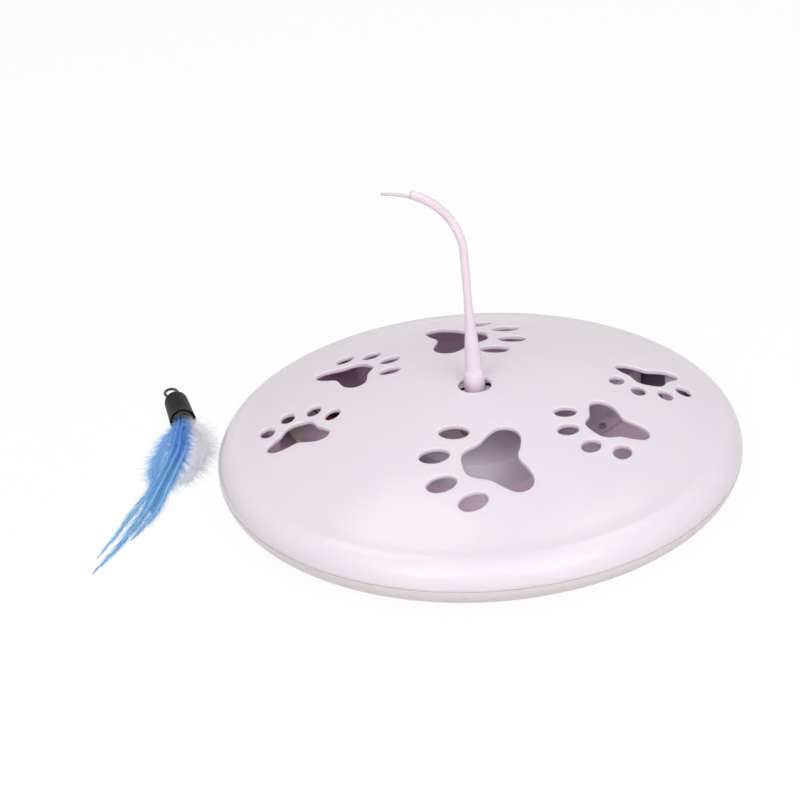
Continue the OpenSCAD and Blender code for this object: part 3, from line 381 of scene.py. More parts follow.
# each finish: light and dark tone, roughness from clean to rubbed, grain, patches and rubbed marks,
# with a painted shade tint on the inner face and painted shade that fades in along an axis where it has them
# the inside tone is a painted shade tint: the inner faces get a pinker lavender that stands in for the purple
# of the shade seen through the windows
gloss = {"grain": 1100, "patch": 14, "depth": 0.06, "marks": 22, "inside": (244, 222, 241)}
satin = {"rough": (0.4, 0.52), "grain": 1500, "patch": 24, "depth": 0.12, "marks": 40}
sleeve = {"rough": (0.35, 0.5), "grain": 2400, "patch": 140, "depth": 0.08, "marks": 120}
rubber = {"grain": 1500, "patch": 60, "depth": 0.1, "marks": 50}
finishes = {
    "coverGloss": {**gloss, "light": (241, 227, 238), "dark": (238, 224, 236), "rough": (0.16, 0.24),
                   "shell": {"centre": -0.2893, "radius": 0.3331, "rim": 0.1105, "over": 0.0131},
                   "set": {"IOR": 1.5, "Specular IOR Level": 0.3, "Subsurface Weight": 0.55,
                           "Subsurface Scale": 0.006, "Subsurface Radius": (1.0, 0.75, 0.95)}},
    # painted shade: the base tray fades to a deeper tone towards its bottom edge, where it faces down
    "baseGloss": {**gloss, "light": (222, 210, 211), "dark": (218, 206, 207), "rough": (0.24, 0.34),
                  "shell": {"centre": 0.0, "radius": 1.0, "rim": 0.1213, "over": 0.0053},
                  "paintedShadeFades": (("Z", (206, 194, 195), 0.011, 0.006),), "set": {"IOR": 1.5}},
    "innerSatin": {**satin, "light": (232, 220, 233), "dark": (227, 214, 228)},
    # painted light: a whiter copy of innerSatin for the gearbox cover, standing in for light that falls on it
    # through the front paw window
    "drumSatinPaintedLight": {**satin, "light": (253, 249, 252), "dark": (250, 245, 249)},
    "footRubber": {"light": (206, 203, 206), "dark": (190, 187, 191), "rough": (0.7, 0.85),
                   "grain": 1800, "patch": 90, "depth": 0.3, "marks": 120},
    "gearNylon": {"light": (134, 112, 132), "dark": (122, 101, 121), "rough": (0.45, 0.6),
                  "grain": 1600, "patch": 60, "depth": 0.1, "marks": 80},
    "blackSatin": {"light": (34, 34, 35), "dark": (25, 25, 26), "rough": (0.42, 0.6), "grain": 2200,
                   "patch": 120, "depth": 0.2, "marks": 120},
    # partly painted light: a paper-laminate board is this cream under any lamp, but its cream here also
    # stands in for a patch of light seen through a paw window
    "laminateAndLightPatch": {"light": (226, 225, 204), "dark": (215, 214, 190), "rough": (0.4, 0.55),
                 "grain": 2600, "patch": 160, "depth": 0.1, "marks": 90},
    "resistorClay": {"light": (196, 160, 112), "dark": (176, 138, 92), "rough": (0.45, 0.6),
                     "grain": 3000, "patch": 500, "depth": 0.1, "marks": 300},
    "knobGrey": {"light": (98, 98, 101), "dark": (86, 86, 89), "rough": (0.4, 0.6), "grain": 2200,
                 "patch": 200, "depth": 0.2, "marks": 160},
    "wireRed": {**sleeve, "light": (176, 40, 34), "dark": (156, 30, 27)},
    "wireBlack": {**sleeve, "light": (36, 36, 37), "dark": (26, 26, 27)},
    # painted shade: the tail's bend, and further on its prong, fade to deeper tones so that they show less
    # lit where they face the lamps above
    "tailRubber": {**rubber, "light": (241, 226, 236), "dark": (237, 221, 232), "rough": (0.42, 0.55),
                   "paintedShadeFades": (("X", (230, 213, 224), -0.005, -0.009),
                             ("X", (213, 198, 206), -0.0225, -0.0255)),
                   "set": {"Specular IOR Level": 0.4}},
    "ferruleRubber": {**rubber, "light": (241, 227, 237), "dark": (238, 223, 234),
                      "rough": (0.5, 0.6), "set": {"Specular IOR Level": 0.3}},
    "capSatin": {"light": (14, 16, 14), "dark": (9, 10, 9), "rough": (0.4, 0.54), "grain": 1900,
                 "patch": 110, "depth": 0.22, "marks": 90, "set": {"Specular IOR Level": 0.06}},
    "setGlue": {"light": (214, 206, 182), "dark": (190, 180, 150), "rough": (0.3, 0.5), "grain": 700,
                "patch": 300, "depth": 0.5, "marks": 160},
    "cellJacket": {"light": (120, 84, 46), "dark": (104, 70, 36), "rough": (0.22, 0.36),
                   "grain": 1800, "patch": 60, "depth": 0.05, "marks": 60, "set": {"Metallic": 0.6}},
}
# drawn or plated metals: light and dark tone, roughness range, line scale
metals = {
    "screwZinc": {"light": (206, 206, 210), "dark": (176, 176, 182), "rough": (0.28, 0.45), "lines": 900},
    "axleSteel": {"light": (210, 210, 214), "dark": (182, 182, 188), "rough": (0.18, 0.34), "lines": 1200},
    "bushBronze": {"light": (196, 154, 96), "dark": (164, 122, 70), "rough": (0.35, 0.55), "lines": 1500},
    "motorCan": {"light": (198, 199, 203), "dark": (172, 173, 178), "rough": (0.25, 0.42), "lines": 700},
    "pinionBrass": {"light": (222, 186, 104), "dark": (190, 150, 74), "rough": (0.22, 0.4), "lines": 1400},
    "contactNickel": {"light": (222, 221, 216), "dark": (196, 195, 190), "rough": (0.15, 0.3), "lines": 1000},
}
metalWear = {"marks": 80.0, "depth": 0.15}
braid = {"turns": 70.0, "strands": 3.0, "valley": (15, 15, 15), "ridge": (40, 40, 41), "rough": (0.85, 0.6),
         "depth": 0.7, "set": {"Sheen Weight": 0.3, "Sheen Roughness": 0.5}}


def innerShadeTintMask(tree, shell):
    # 1 on the inner face of a skin, which takes the painted shade tint: under the sphere through the skin's
    # middle and within its rim
    where = objectPlace(tree)
    apart = vectorNode(tree, "DISTANCE", {0: where, 1: (0, 0, shell["centre"])}, "Value")
    reach = vectorNode(tree, "LENGTH", {0: stretched(tree, where, (1, 1, 0))}, "Value")
    under = mathNode(tree, "LESS_THAN", apart, shell["radius"])
    within = mathNode(tree, "LESS_THAN", reach, shell["rim"])
    above = mathNode(tree, "GREATER_THAN", axisOf(tree, where, "Z"), shell["over"])
    return mathNode(tree, "MULTIPLY", under, mathNode(tree, "MULTIPLY", within, above))


def mouldedMaterial(name, spec):
    material, tree, shader = newMaterial(name, spec.get("set", {}))
    grain = placeGroup(tree, grainGroup, Scale=spec["grain"], Patch_Scale=spec["patch"])
    marks = placeGroup(tree, marksGroup, Scale=spec["marks"])
    colour = mixColours(tree, grain["Tone"], tint(*spec["light"]), tint(*spec["dark"]))
    for axis, tone, start, end in spec.get("paintedShadeFades", ()):
        # painted shade: a deeper tone that comes in from one place along an axis to another
        share = spanNode(tree, axisOf(tree, objectPlace(tree), axis), 0, 1, start, end)
        colour = mixColours(tree, share, colour, tint(*tone))
    # painted shade tint on the inner face
    if "inside" in spec:
        colour = mixColours(tree, innerShadeTintMask(tree, spec["shell"]), colour, tint(*spec["inside"]))
    rough = spanNode(tree, marks["Mask"], *spec["rough"])
    paint(tree, shader, colour, rough, grain["Height"], spec["depth"], reliefDepth["mould"])
    return material


def metalMaterial(name, spec):
    material, tree, shader = newMaterial(name, {"Metallic": 1.0})
    brush = placeGroup(tree, brushGroup, Scale=spec["lines"])
    marks = placeGroup(tree, marksGroup, Scale=metalWear["marks"])
    colour = mixColours(tree, brush["Tone"], tint(*spec["light"]), tint(*spec["dark"]))
    rough = spanNode(tree, marks["Mask"], *spec["rough"])
    paint(tree, shader, colour, rough, brush["Height"], metalWear["depth"], reliefDepth["metal"])
    return material


def braidMaterial(name, spec):
    material, tree, shader = newMaterial(name, spec["set"])
    weave = placeGroup(tree, braidGroup, Turns=spec["turns"], Strands=spec["strands"])
    colour = mixColours(tree, weave["Tone"], tint(*spec["valley"]), tint(*spec["ridge"]))
    rough = spanNode(tree, weave["Tone"], *spec["rough"])
    paint(tree, shader, colour, rough, weave["Height"], spec["depth"], reliefDepth["cord"])
    return material


look = {name: mouldedMaterial(name, spec) for name, spec in finishes.items()}
look.update({name: metalMaterial(name, spec) for name, spec in metals.items()})
look["cordBlack"] = braidMaterial("cordBlack", braid)
print("finishes made:", len(look))

# the lure's own frame on the floor, as in the part's source
lure = {"left": 157, "back": 75, "turn": -74, "capLength": 28, "mouth": 13.4, "crown": 12, "wall": 1.2,
        "plugBack": 5, "cord": 1.5}
capSlope = math.atan((lure["mouth"] - lure["crown"]) / 2 / lure["capLength"])
capAxis = lure["crown"] / 2 * math.cos(capSlope)
mouthX = lure["capLength"] * math.cos(capSlope)
mouthZ = capAxis + lure["capLength"] * math.sin(capSlope)
lureTurn = math.radians(lure["turn"])
lureShift = Vector((-lure["left"], lure["back"], 0)) * mm
lurePlace = Matrix.Translation(lureShift) @ Matrix.Rotation(lureTurn, 4, "Z")


def inLure(points):
    p = np.array(points, float)
    x = p[:, 0] * math.cos(lureTurn) - p[:, 1] * math.sin(lureTurn) - lure["left"]
    y = p[:, 0] * math.sin(lureTurn) + p[:, 1] * math.cos(lureTurn) + lure["back"]
    return np.stack([x, y, p[:, 2]], axis=1)


# the cord loop that hooks on the tail's fork
loopRoute = [
    (-0.2, 1.3, 6), (-2, 1.4, 6), (-4, 1.4, 5.2), (-6, 1, 3.6), (-8, 0.2, 2), (-10, -0.9, 1.1),
    (-12, -1.9, 0.8), (-14, -2.8, 0.8), (-16, -3.3, 0.8), (-18, -3.1, 0.8), (-20, -1.9, 0.8),
    (-20.8, 0, 0.8), (-20, 1.9, 0.8), (-18, 3.1, 0.8), (-16, 3.3, 0.8), (-14, 2.8, 1),
    (-12, 1.9, 1.8), (-10, 0.9, 3), (-8, -0.2, 4), (-6, -1, 4.8), (-4, -1.4, 5.6),
    (-2, -1.4, 6), (-0.2, -1.3, 6),
]
loopSmooth = {"steps": 5, "sides": 12}


def makeLoop():
    line = inLure(smoothLine(loopRoute, loopSmooth["steps"]))
    sides = loopSmooth["sides"]
    run = runLengths(line)
    radii = np.full(len(line), lure["cord"] / 2)
    mesh = meshFrom("lureLoop", [tubeShape(line, radii, sides, (0, 0, 1))], crease=80)
    uv = mesh.uv_layers.new(name="UVMap")
    for face in mesh.polygons:
        around = [mesh.loops[corner].vertex_index % sides for corner in face.loop_indices]
        for corner, across in zip(face.loop_indices, around):
            ring = min(mesh.loops[corner].vertex_index // sides, len(run) - 1)
            if across == 0 and sides - 1 in around:
                across = sides
            uv.data[corner].uv = (across / sides, run[ring] / run[-1])
    loop = addPiece("lureLoop", mesh, look["cordBlack"], "lure", "cord_black", "lure_loop")


makeLoop()

# cover: outer sizes as in the part's source, with rounded edges round every window
cover = {"radius": 125, "seam": 13, "crown": 45, "bead": 12.5, "wall": 2.5, "tailHole": 15.4,
         "edgeRound": 0.85, "edgeSteps": 5, "lipEnd": 12, "lipBack": 10.4, "lipCount": 96, "flatEnd": 107,
         "rimCount": 288, "seamRound": 0.5, "seamIn": 0.55, "creaseIn": 3.2, "creaseAt": 0.4,
         "creaseLift": 0.05, "creaseEnd": 75, "grid": 3.2, "gridRow": 0.866, "gridFromLip": 1.5,
         "gridFromRim": 1.8, "gridFromWindow": 1.3, "windowStep": 1.1, "padSteps": 8, "toeCount": 64,
         "creaseSteps": 8, "beadEnd": 4, "beadSteps": 22, "innerStart": 3, "innerSteps": 14, "seamSteps": 5,
         "lipTurn": (88, 272), "lipSteps": 14, "outerBand": 1.2, "innerBand": 2}
# width, distance from the axis, angle and heading of each paw, which comes twice, half a turn apart
paws = [(44, 61, -83.4, 189), (34, 68.5, -27.3, 221), (30, 85.5, 12.6, 270)]
padDrawn = 44.4  # the paw's width as the pad and toes below are drawn
padHalf = [(14.8, 0), (13.9, 6.4), (10.4, 9.9), (4.4, 12.8), (-0.5, 18), (-6.2, 22), (-12, 20.4),
           (-14.6, 14.6), (-13.2, 7.4), (-10.6, 0)]
# forward, sideways, length, width and lean of the toes on one side
toes = [(26, 9.4, 14, 10, 8), (14.4, 23.4, 14, 10, 20)]

beadCentre = cover["radius"] - cover["bead"]
domeRise = cover["crown"] - cover["seam"] - cover["bead"]
domeRadius = (beadCentre ** 2 + domeRise ** 2) / (2 * domeRise)
domeCentre = cover["crown"] - domeRadius


def domeHeight(r, inward=0.0):
    return domeCentre + np.sqrt((domeRadius - inward) ** 2 - np.square(r))


def windowOutlines():
    outlines = []
    pad = padHalf + [(x, -y) for x, y in padHalf[-2:0:-1]]
    shapes = [smoothLine(pad, cover["padSteps"], closed=True)]
    a = np.linspace(0, 2 * math.pi, cover["toeCount"], endpoint=False)
    for forward, side, length, width, lean in toes:
        for sign in (1, -1):
            spin = math.radians(sign * lean)
            x, y = length / 2 * np.cos(a), width / 2 * np.sin(a)
            shapes.append(np.stack([forward + x * math.cos(spin) - y * math.sin(spin),
                                    sign * side + x * math.sin(spin) + y * math.cos(spin)], axis=1))
    for width, distance, angle, heading in paws:
        for half in (0, 180):
            turn = math.radians(heading + half)
            at = math.radians(angle + half)
            spin = np.array([[math.cos(turn), math.sin(turn)], [-math.sin(turn), math.cos(turn)]])
            for shape in shapes:
                ring = shape * (width / padDrawn) @ spin + distance * np.array([math.cos(at), math.sin(at)])
                ahead = np.roll(ring, -1, axis=0)
                area = np.sum(ring[:, 0] * ahead[:, 1] - ring[:, 1] * ahead[:, 0])
                outlines.append(evenRing(ring if area > 0 else ring[::-1], cover["windowStep"]))
    return outlines


def insideRing(points, ring):
    x, y = points[:, 0], points[:, 1]
    inside = np.zeros(len(points), bool)
    for a, b in zip(ring, np.roll(ring, -1, axis=0)):
        crosses = (a[1] > y) != (b[1] > y)
        slope = np.where(crosses, (b[0] - a[0]) * (y - a[1]) / (b[1] - a[1] + 1e-12) + a[0], 0)
        inside ^= crosses & (x < slope)
    return inside


def circlePoints(radius, count):
    a = np.linspace(0, 2 * math.pi, count, endpoint=False)
    return np.stack([radius * np.cos(a), radius * np.sin(a)], axis=1)


def hexGrid(spacing, inner, outer):
    points = []
    rows = int(outer / (spacing * cover["gridRow"])) + 1
    for j in range(-rows, rows + 1):
        shift = spacing / 2 if j % 2 else 0
        for i in range(-rows - 2, rows + 3):
            p = (i * spacing + shift, j * spacing * cover["gridRow"])
            if inner < math.hypot(*p) < outer:
                points.append(p)
    return np.array(points)


# the cover's mesh grows in a dictionary, each vertex with its own normal, so that the gloss
# runs on over every join
def addPoints(build, points, normals):
    first = len(build["verts"])
    build["verts"] += [tuple(p) for p in points]
    build["normals"] += [tuple(n) for n in normals]
    return list(range(first, first + len(points)))


def bridgeRings(build, rings):
    for low, high in zip(rings, rings[1:]):
        n = len(low)
        for k in range(n):
            build["faces"].append((low[k], low[(k + 1) % n], high[(k + 1) % n], high[k]))


def domeNormals(points, inward=0.0):
    up = np.sqrt((domeRadius - inward) ** 2 - np.sum(points ** 2, axis=1))
    n = np.column_stack([points, up])
    return n / np.linalg.norm(n, axis=1)[:, None]


def latheInto(build, profile, border, flip):
    # rings between the two of a border, which exist already
    first, last = border
    rings = [first]
    p = np.array(profile, float)
    way = headings(p)
    count = len(first)
    a = np.linspace(0, 2 * math.pi, count, endpoint=False)
    for i in range(1, len(p) - 1):
        nr, nz = way[i][1] * flip, -way[i][0] * flip
        ring = np.column_stack([p[i][0] * np.cos(a), p[i][0] * np.sin(a), np.full(count, p[i][1])])
        normal = np.column_stack([nr * np.cos(a), nr * np.sin(a), np.full(count, nz)])
        rings.append(addPoints(build, ring, normal))
    bridgeRings(build, rings + [last])


def creaseCurve(start, control, end, steps):
    start, control, end = np.array(start), np.array(control), np.array(end)
    points = []
    for k in range(1, steps):
        t = k / steps
        points.append(tuple((1 - t) ** 2 * start + 2 * t * (1 - t) * control + t * t * end))
    return points


def onDome(r, inward=0.0):
    return (r, float(domeHeight(r, inward)))


def rimProfile():
    # from the flat of the dome out over the soft crease and the bead, in at the seam, and back under the dome
    seam, bead, wall, flatEnd = cover["seam"], cover["bead"], cover["wall"], cover["flatEnd"]
    turn = math.radians(cover["creaseEnd"])
    start = onDome(beadCentre - cover["creaseIn"])
    across, up = onDome(beadCentre - cover["creaseAt"])
    end = (beadCentre + bead * math.cos(turn), seam + bead * math.sin(turn))
    profile = [onDome(flatEnd), onDome(flatEnd + cover["outerBand"]), start]
    profile += creaseCurve(start, (across, up + cover["creaseLift"]), end, cover["creaseSteps"])
    profile += arcPoints((beadCentre, seam), bead, cover["creaseEnd"], cover["beadEnd"], cover["beadSteps"])
    corner = (cover["radius"] - cover["seamIn"], seam + cover["seamRound"])
    profile += arcPoints(corner, cover["seamRound"], 0, -90, cover["seamSteps"])
    profile.append((cover["radius"] - wall + cover["seamRound"], seam))
    profile += arcPoints((beadCentre, seam), bead - wall, cover["innerStart"], 90, cover["innerSteps"])
    return profile + [onDome(beadCentre - cover["innerBand"], wall), onDome(flatEnd, wall)]


def lipProfile():
    # the rolled edge round the tail's hole
    wall, lipEnd, lipBack = cover["wall"], cover["lipEnd"], cover["lipBack"]
    edge = cover["tailHole"] / 2 + wall / 2
    middle = float(domeHeight(edge) + domeHeight(edge, wall)) / 2
    roll = arcPoints((edge, middle), wall / 2, *cover["lipTurn"], cover["lipSteps"])
    return [onDome(lipEnd), onDome(lipBack)] + roll + [onDome(lipBack, wall), onDome(lipEnd, wall)]


def skinPlan(rings):
    # triangles between the rings, seen from above, and where each ring's points are among theirs
    windows = rings[:-2]
    lipEnd, flatEnd = cover["lipEnd"], cover["flatEnd"]
    grid = hexGrid(cover["grid"], lipEnd + cover["gridFromLip"], flatEnd - cover["gridFromRim"])
    keep = np.ones(len(grid), bool)
    for ring in windows:
        gap = np.min(np.linalg.norm(grid[:, None] - ring[None], axis=2), axis=1)
        keep &= ~insideRing(grid, ring) & (gap > cover["gridFromWindow"])
    points = np.vstack(rings + [grid[keep]])
    edges, starts, first = [], [], 0
    for ring in rings:
        starts.append(first)
        edges += [(first + k, first + (k + 1) % len(ring)) for k in range(len(ring))]
        first += len(ring)
    made = delaunay_2d_cdt([Vector(p) for p in points], edges, [], 0, 1e-7)
    flat = np.array([tuple(v) for v in made[0]])
    place = {}
    for index, sources in enumerate(made[3]):
        for source in sources:
            place[source] = index
    tris = np.array(made[2])
    middle = flat[tris].mean(axis=1)
    r = np.linalg.norm(middle, axis=1)
    keep = (r < flatEnd) & (r > lipEnd * math.cos(math.pi / cover["lipCount"]))
    for ring in windows:
        keep &= ~insideRing(middle, ring)
    found = [[place[start + k] for k in range(len(ring))] for ring, start in zip(rings, starts)]
    return flat, tris[keep], found


def windowEdge(build, ring, away):
    # the rounded edge of a window, from the outer face through to the inner one
    edge, steps = cover["edgeRound"], cover["edgeSteps"]
    normal = domeNormals(ring)
    hole = np.column_stack([-away, np.zeros(len(ring))])
    turns = [math.radians(k * 90 / steps) for k in range(1, steps + 1)]
    chain = []
    for inward, sign in ((0.0, 1), (cover["wall"], -1)):
        for turn in turns[::sign]:
            s, c = math.sin(turn), math.cos(turn)
            where = ring + away * edge * (1 - s)
            height = domeHeight(np.linalg.norm(where, axis=1), inward) - sign * edge * (1 - c)
            chain.append(addPoints(build, np.column_stack([where, height]), normal * sign * c + hole * s))
    return chain


def makeCover():
    wall = cover["wall"]
    outlines = windowOutlines()
    out = []
    for ring in outlines:
        along = np.roll(ring, -1, axis=0) - np.roll(ring, 1, axis=0)
        along /= np.linalg.norm(along, axis=1)[:, None]
        out.append(np.column_stack([along[:, 1], -along[:, 0]]))
    rings = [ring + away * cover["edgeRound"] for ring, away in zip(outlines, out)]
    rings.append(circlePoints(cover["flatEnd"], cover["rimCount"]))
    rings.append(circlePoints(cover["lipEnd"], cover["lipCount"]))
    flat, tris, found = skinPlan(rings)
    build = {"verts": [], "normals": [], "faces": []}
    radius = np.linalg.norm(flat, axis=1)
    top = addPoints(build, np.column_stack([flat, domeHeight(radius)]), domeNormals(flat))
    under = addPoints(build, np.column_stack([flat, domeHeight(radius, wall)]), -domeNormals(flat, wall))
    for a, b, c in tris:
        build["faces"].append((top[a], top[b], top[c]))
        build["faces"].append((under[c], under[b], under[a]))
    borders = [([top[i] for i in places], [under[i] for i in places]) for places in found]
    for ring, away, (upper, lower) in zip(outlines, out, borders):
        bridgeRings(build, [upper] + windowEdge(build, ring, away) + [lower])
    latheInto(build, rimProfile(), borders[-2], -1)
    latheInto(build, lipProfile(), borders[-1], 1)
    mesh = bpy.data.meshes.new("topCover")
    mesh.from_pydata([tuple(c * mm for c in v) for v in build["verts"]], [], build["faces"])
    mesh.update()
    bm = bmesh.new()
    bm.from_mesh(mesh)
    bmesh.ops.recalc_face_normals(bm, faces=bm.faces)
    loose = sum(len(e.link_faces) != 2 for e in bm.edges)
    bm.to_mesh(mesh)
    bm.free()
    mesh.shade_smooth()
    normals = np.array(build["normals"])
    normals /= np.linalg.norm(normals, axis=1)[:, None]
    mesh.normals_split_custom_set_from_vertices([tuple(n) for n in normals])
    addPiece("topCover", mesh, look["coverGloss"], "disc", "shell", "top_cover")
    print("cover:", len(mesh.polygons), "faces,", len(outlines), "windows, open edges", loose)


makeCover()

# screw bosses that hang under the cover, each with a blind hole
bosses = {"ring": 104, "angles": (-57, 20, 76, 123, 170, 228), "hole": 2.9, "wall": 2.6, "foot": 14,
          "depth": 9, "intoSkin": 0.6, "holeBevel": 0.3, "footBevel": 0.4, "sides": 32}


def makeBosses():
    shapes = []
    foot, bevel, soft = bosses["foot"], bosses["holeBevel"], bosses["footBevel"]
    inner = bosses["hole"] / 2
    outer = inner + bosses["wall"]
    topZ = float(domeHeight(bosses["ring"] + outer, cover["wall"])) + bosses["intoSkin"]
    ceiling = foot + bosses["depth"]
    profile = [(0, ceiling), (inner, ceiling), (inner, foot + bevel), (inner + bevel, foot),
               (outer - soft, foot), (outer, foot + soft), (outer, topZ - 0.01), (0, topZ)]
    for angle in bosses["angles"]:
        verts, faces = latheShape(profile, bosses["sides"])
        a = math.radians(angle)
        shift = np.array([bosses["ring"] * math.cos(a), bosses["ring"] * math.sin(a), 0])
        shapes.append(([np.array(v) + shift for v in verts], faces))
    addPiece("coverBosses", meshFrom("coverBosses", shapes), look["coverGloss"], "disc", "shell")


makeBosses()
print("bosses hung")

# tail: ferrule and forked wand
tail = {"foot": 52, "rise": 60, "bendRadius": 33, "bend": 82, "lean": 1.5, "tip": 5.5, "root": 8.5,
        "waist": 3.7, "waistAt": 0.36, "taper": 1.4, "fork": 4.2, "forkAt": 15 / 18, "cutRound": 1.0,
        "rings": 130, "sides": 32, "roundSteps": 6,
        "prong": 1.8, "tipWidth": 1.4, "prongDrop": 1.15, "prongInside": 5.2, "prongRings": 40,
        "prongSides": 24, "barbOver": 0.9, "barbSink": 0.25, "barbRoot": 2.2, "barbTip": 0.7,
        "barbBlunt": 8, "barbRings": 19, "barbSides": 20}
ferrule = {"low": 40, "high": 52, "width": 9.8, "stem": 5, "stemLength": 11, "stemBevel": 0.4,
           "footBevel": 0.3, "neckFrom": 1.8, "neckRise": 3.2, "neckSteps": 8, "collar": 1.4, "collarIn": 0.6,
           "sides": 64}


def tailPoint(s):
    bend, radius = math.radians(tail["bend"]), tail["bendRadius"]
    if s < tail["rise"]:
        u, v = 0.0, s
    elif s < tail["rise"] + radius * bend:
        a = (s - tail["rise"]) / radius
        u, v = radius * (1 - math.cos(a)), tail["rise"] + radius * math.sin(a)
    else:
        left = s - tail["rise"] - radius * bend
        u = radius * (1 - math.cos(bend)) + left * math.sin(bend)
        v = tail["rise"] + radius * math.sin(bend) + left * math.cos(bend)
    lean = math.radians(tail["lean"])
    foot = tail["foot"] + tail["root"] / 2 * math.sin(lean)
    across = -u * math.cos(lean) - v * math.sin(lean)
    return np.array([across, 0, foot + v * math.cos(lean) - u * math.sin(lean)])


def tailOut(s):
    step = 0.05
    ahead = tailPoint(s + step) - tailPoint(s - step)
    return np.cross((0, 1.0, 0), ahead / np.linalg.norm(ahead))


def tailWidth(t, forkShare):
    if t < tail["waistAt"]:
        turn = math.pi / 2 * t / tail["waistAt"]
        return tail["root"] + (tail["waist"] - tail["root"]) * math.sin(turn) ** tail["taper"]
    past = (t - tail["waistAt"]) / (forkShare - tail["waistAt"])
    return tail["waist"] + (tail["fork"] - tail["waist"]) * past


def makeWand():
    bendLength = tail["bendRadius"] * math.radians(tail["bend"])
    full = tail["rise"] + bendLength + tail["tip"]
    forkRun = tail["rise"] + bendLength * tail["forkAt"]
    foot = forkRun - tail["prongInside"]
    turns = np.linspace(0, math.pi / 2, tail["roundSteps"])[1:]
    # the thick part ends in a cut with a soft edge
    runs = np.linspace(0, forkRun, tail["rings"])
    line = [tailPoint(s) for s in runs]
    radii = [tailWidth(s / full, forkRun / full) / 2 for s in runs]
    for turn in turns:
        line.append(tailPoint(forkRun + tail["cutRound"] * math.sin(turn)))
        radii.append((tail["fork"] / 2) - tail["cutRound"] * (1 - math.cos(turn)))
    shapes = [tubeShape(np.array(line), radii, tail["sides"])]
    # the thin prong runs on along the inner edge to a round tip
    prong, prongRadii = [], []
    for share in np.linspace(0, 1, tail["prongRings"]):
        s = foot + (full - forkRun + tail["prongInside"]) * share
        prong.append(tailPoint(s) - tailOut(s) * tail["prongDrop"])
        prongRadii.append((tail["prong"] + (tail["tipWidth"] - tail["prong"]) * share) / 2)
    end, ahead = prong[-1], prong[-1] - prong[-2]
    ahead = ahead / np.linalg.norm(ahead)
    for turn in turns:
        prong.append(end + ahead * tail["tipWidth"] / 2 * math.sin(turn))
        prongRadii.append(tail["tipWidth"] / 2 * max(math.cos(turn), 0.05))
    shapes.append(tubeShape(np.array(prong), prongRadii, tail["prongSides"]))
    # the barb lies along the outer edge and ends in a point past the cut
    barb, barbRadii = [], []
    root, out = tailPoint(foot), tailOut(foot)
    way = np.cross(out, (0, 1.0, 0))
    reach = np.linalg.norm(tailPoint(forkRun) - root) + tail["barbOver"]
    for share in np.linspace(0, 1, tail["barbRings"]):
        half = (tail["barbRoot"] + (tail["barbTip"] - tail["barbRoot"]) * share) / 2
        height = tail["fork"] / 2 - half - tail["barbSink"] * (1 - share)
        barb.append(root + way * reach * share + out * height)
        barbRadii.append(half * math.sqrt(max(1 - share ** tail["barbBlunt"], 0.01)))
    shapes.append(tubeShape(np.array(barb), barbRadii, tail["barbSides"]))
    mesh = meshFrom("tailWand", shapes, crease=70)
    addPiece("tailWand", mesh, look["tailRubber"], "tail", "tail_rubber", "tail_wand")


def makeFerrule():
    half, stem, root = ferrule["width"] / 2, ferrule["stem"] / 2, tail["root"] / 2
    low, high, bevel = ferrule["low"], ferrule["high"], ferrule["footBevel"]
    bottom = low - ferrule["stemLength"]
    profile = [(0, bottom), (stem - ferrule["stemBevel"], bottom), (stem, bottom + ferrule["stemBevel"])]
    profile += [(stem, low - 0.01), (half - bevel, low), (half, low + bevel)]
    for k in range(ferrule["neckSteps"] + 1):
        t = k / ferrule["neckSteps"]
        ease = t * t * (3 - 2 * t)
        profile.append((half + (root - half) * ease, high - ferrule["neckFrom"] + ferrule["neckRise"] * t))
    top = high + ferrule["collar"]
    profile += [(root - ferrule["collarIn"], top), (0, top)]
    mesh = meshFrom("tailFerrule", [latheShape(profile, ferrule["sides"])], crease=50)
    addPiece("tailFerrule", mesh, look["ferruleRubber"], "tail", "tail_rubber", "tail_ferrule")


makeWand()
makeFerrule()
print("tail made")

# lure cap: its mesh is turned round its length, with the crown at the start
cap = {"sides": 72, "domeStep": 6, "bands": (12, 20), "lipOut": 0.6, "lipIn": 0.8, "lipSteps": 8}


def capRadius(along):
    return (lure["crown"] + (lure["mouth"] - lure["crown"]) * along / lure["capLength"]) / 2


def makeCap():
    length, wall, plugBack = lure["capLength"], lure["wall"], lure["plugBack"]
    dome = lure["crown"] / 2
    shoulder = capRadius(dome)
    profile = [(0, dome - shoulder)]
    for angle in range(cap["domeStep"], 90, cap["domeStep"]):
        a = math.radians(angle)
        profile.append((shoulder * math.sin(a), dome - shoulder * math.cos(a)))
    profile += [(capRadius(z), z) for z in (dome, *cap["bands"], length - cap["lipOut"])]
    lip = (capRadius(length) - wall / 2, length - wall / 2)
    profile += arcPoints(lip, wall / 2, 5, 175, cap["lipSteps"])
    profile += [(capRadius(z) - wall, z) for z in (length - cap["lipIn"], cap["bands"][-1], plugBack)]
    profile.append((0, plugBack))
    tilt = Matrix.Rotation(math.pi / 2 - capSlope, 4, "Y")
    place = lurePlace @ Matrix.Translation((0, 0, capAxis * mm)) @ tilt
    mesh = meshFrom("lureCap", [latheShape(profile, cap["sides"])], place, crease=50)
    addPiece("lureCap", mesh, look["capSatin"], "lure", "cap_black", "lure_cap")


makeCap()
print("cap made")


# feathers
def randomBetween(tree, low, high, seed):
    inputs = {2: low, 3: high, "Seed": seed}
    return addNode(tree, "FunctionNodeRandomValue", inputs, data_type="FLOAT").outputs[1]


def keepValue(tree, geometry, name, value):
    inputs = {"Geometry": geometry, "Name": name, "Value": value}
    node = addNode(tree, "GeometryNodeStoreNamedAttribute", inputs, data_type="FLOAT", domain="POINT")
    return node.outputs["Geometry"]


def readValue(tree, name):
    return addNode(tree, "GeometryNodeInputNamedAttribute", {"Name": name}, data_type="FLOAT").outputs[0]


def alongCurve(tree):
    return addNode(tree, "GeometryNodeSplineParameter").outputs["Factor"]


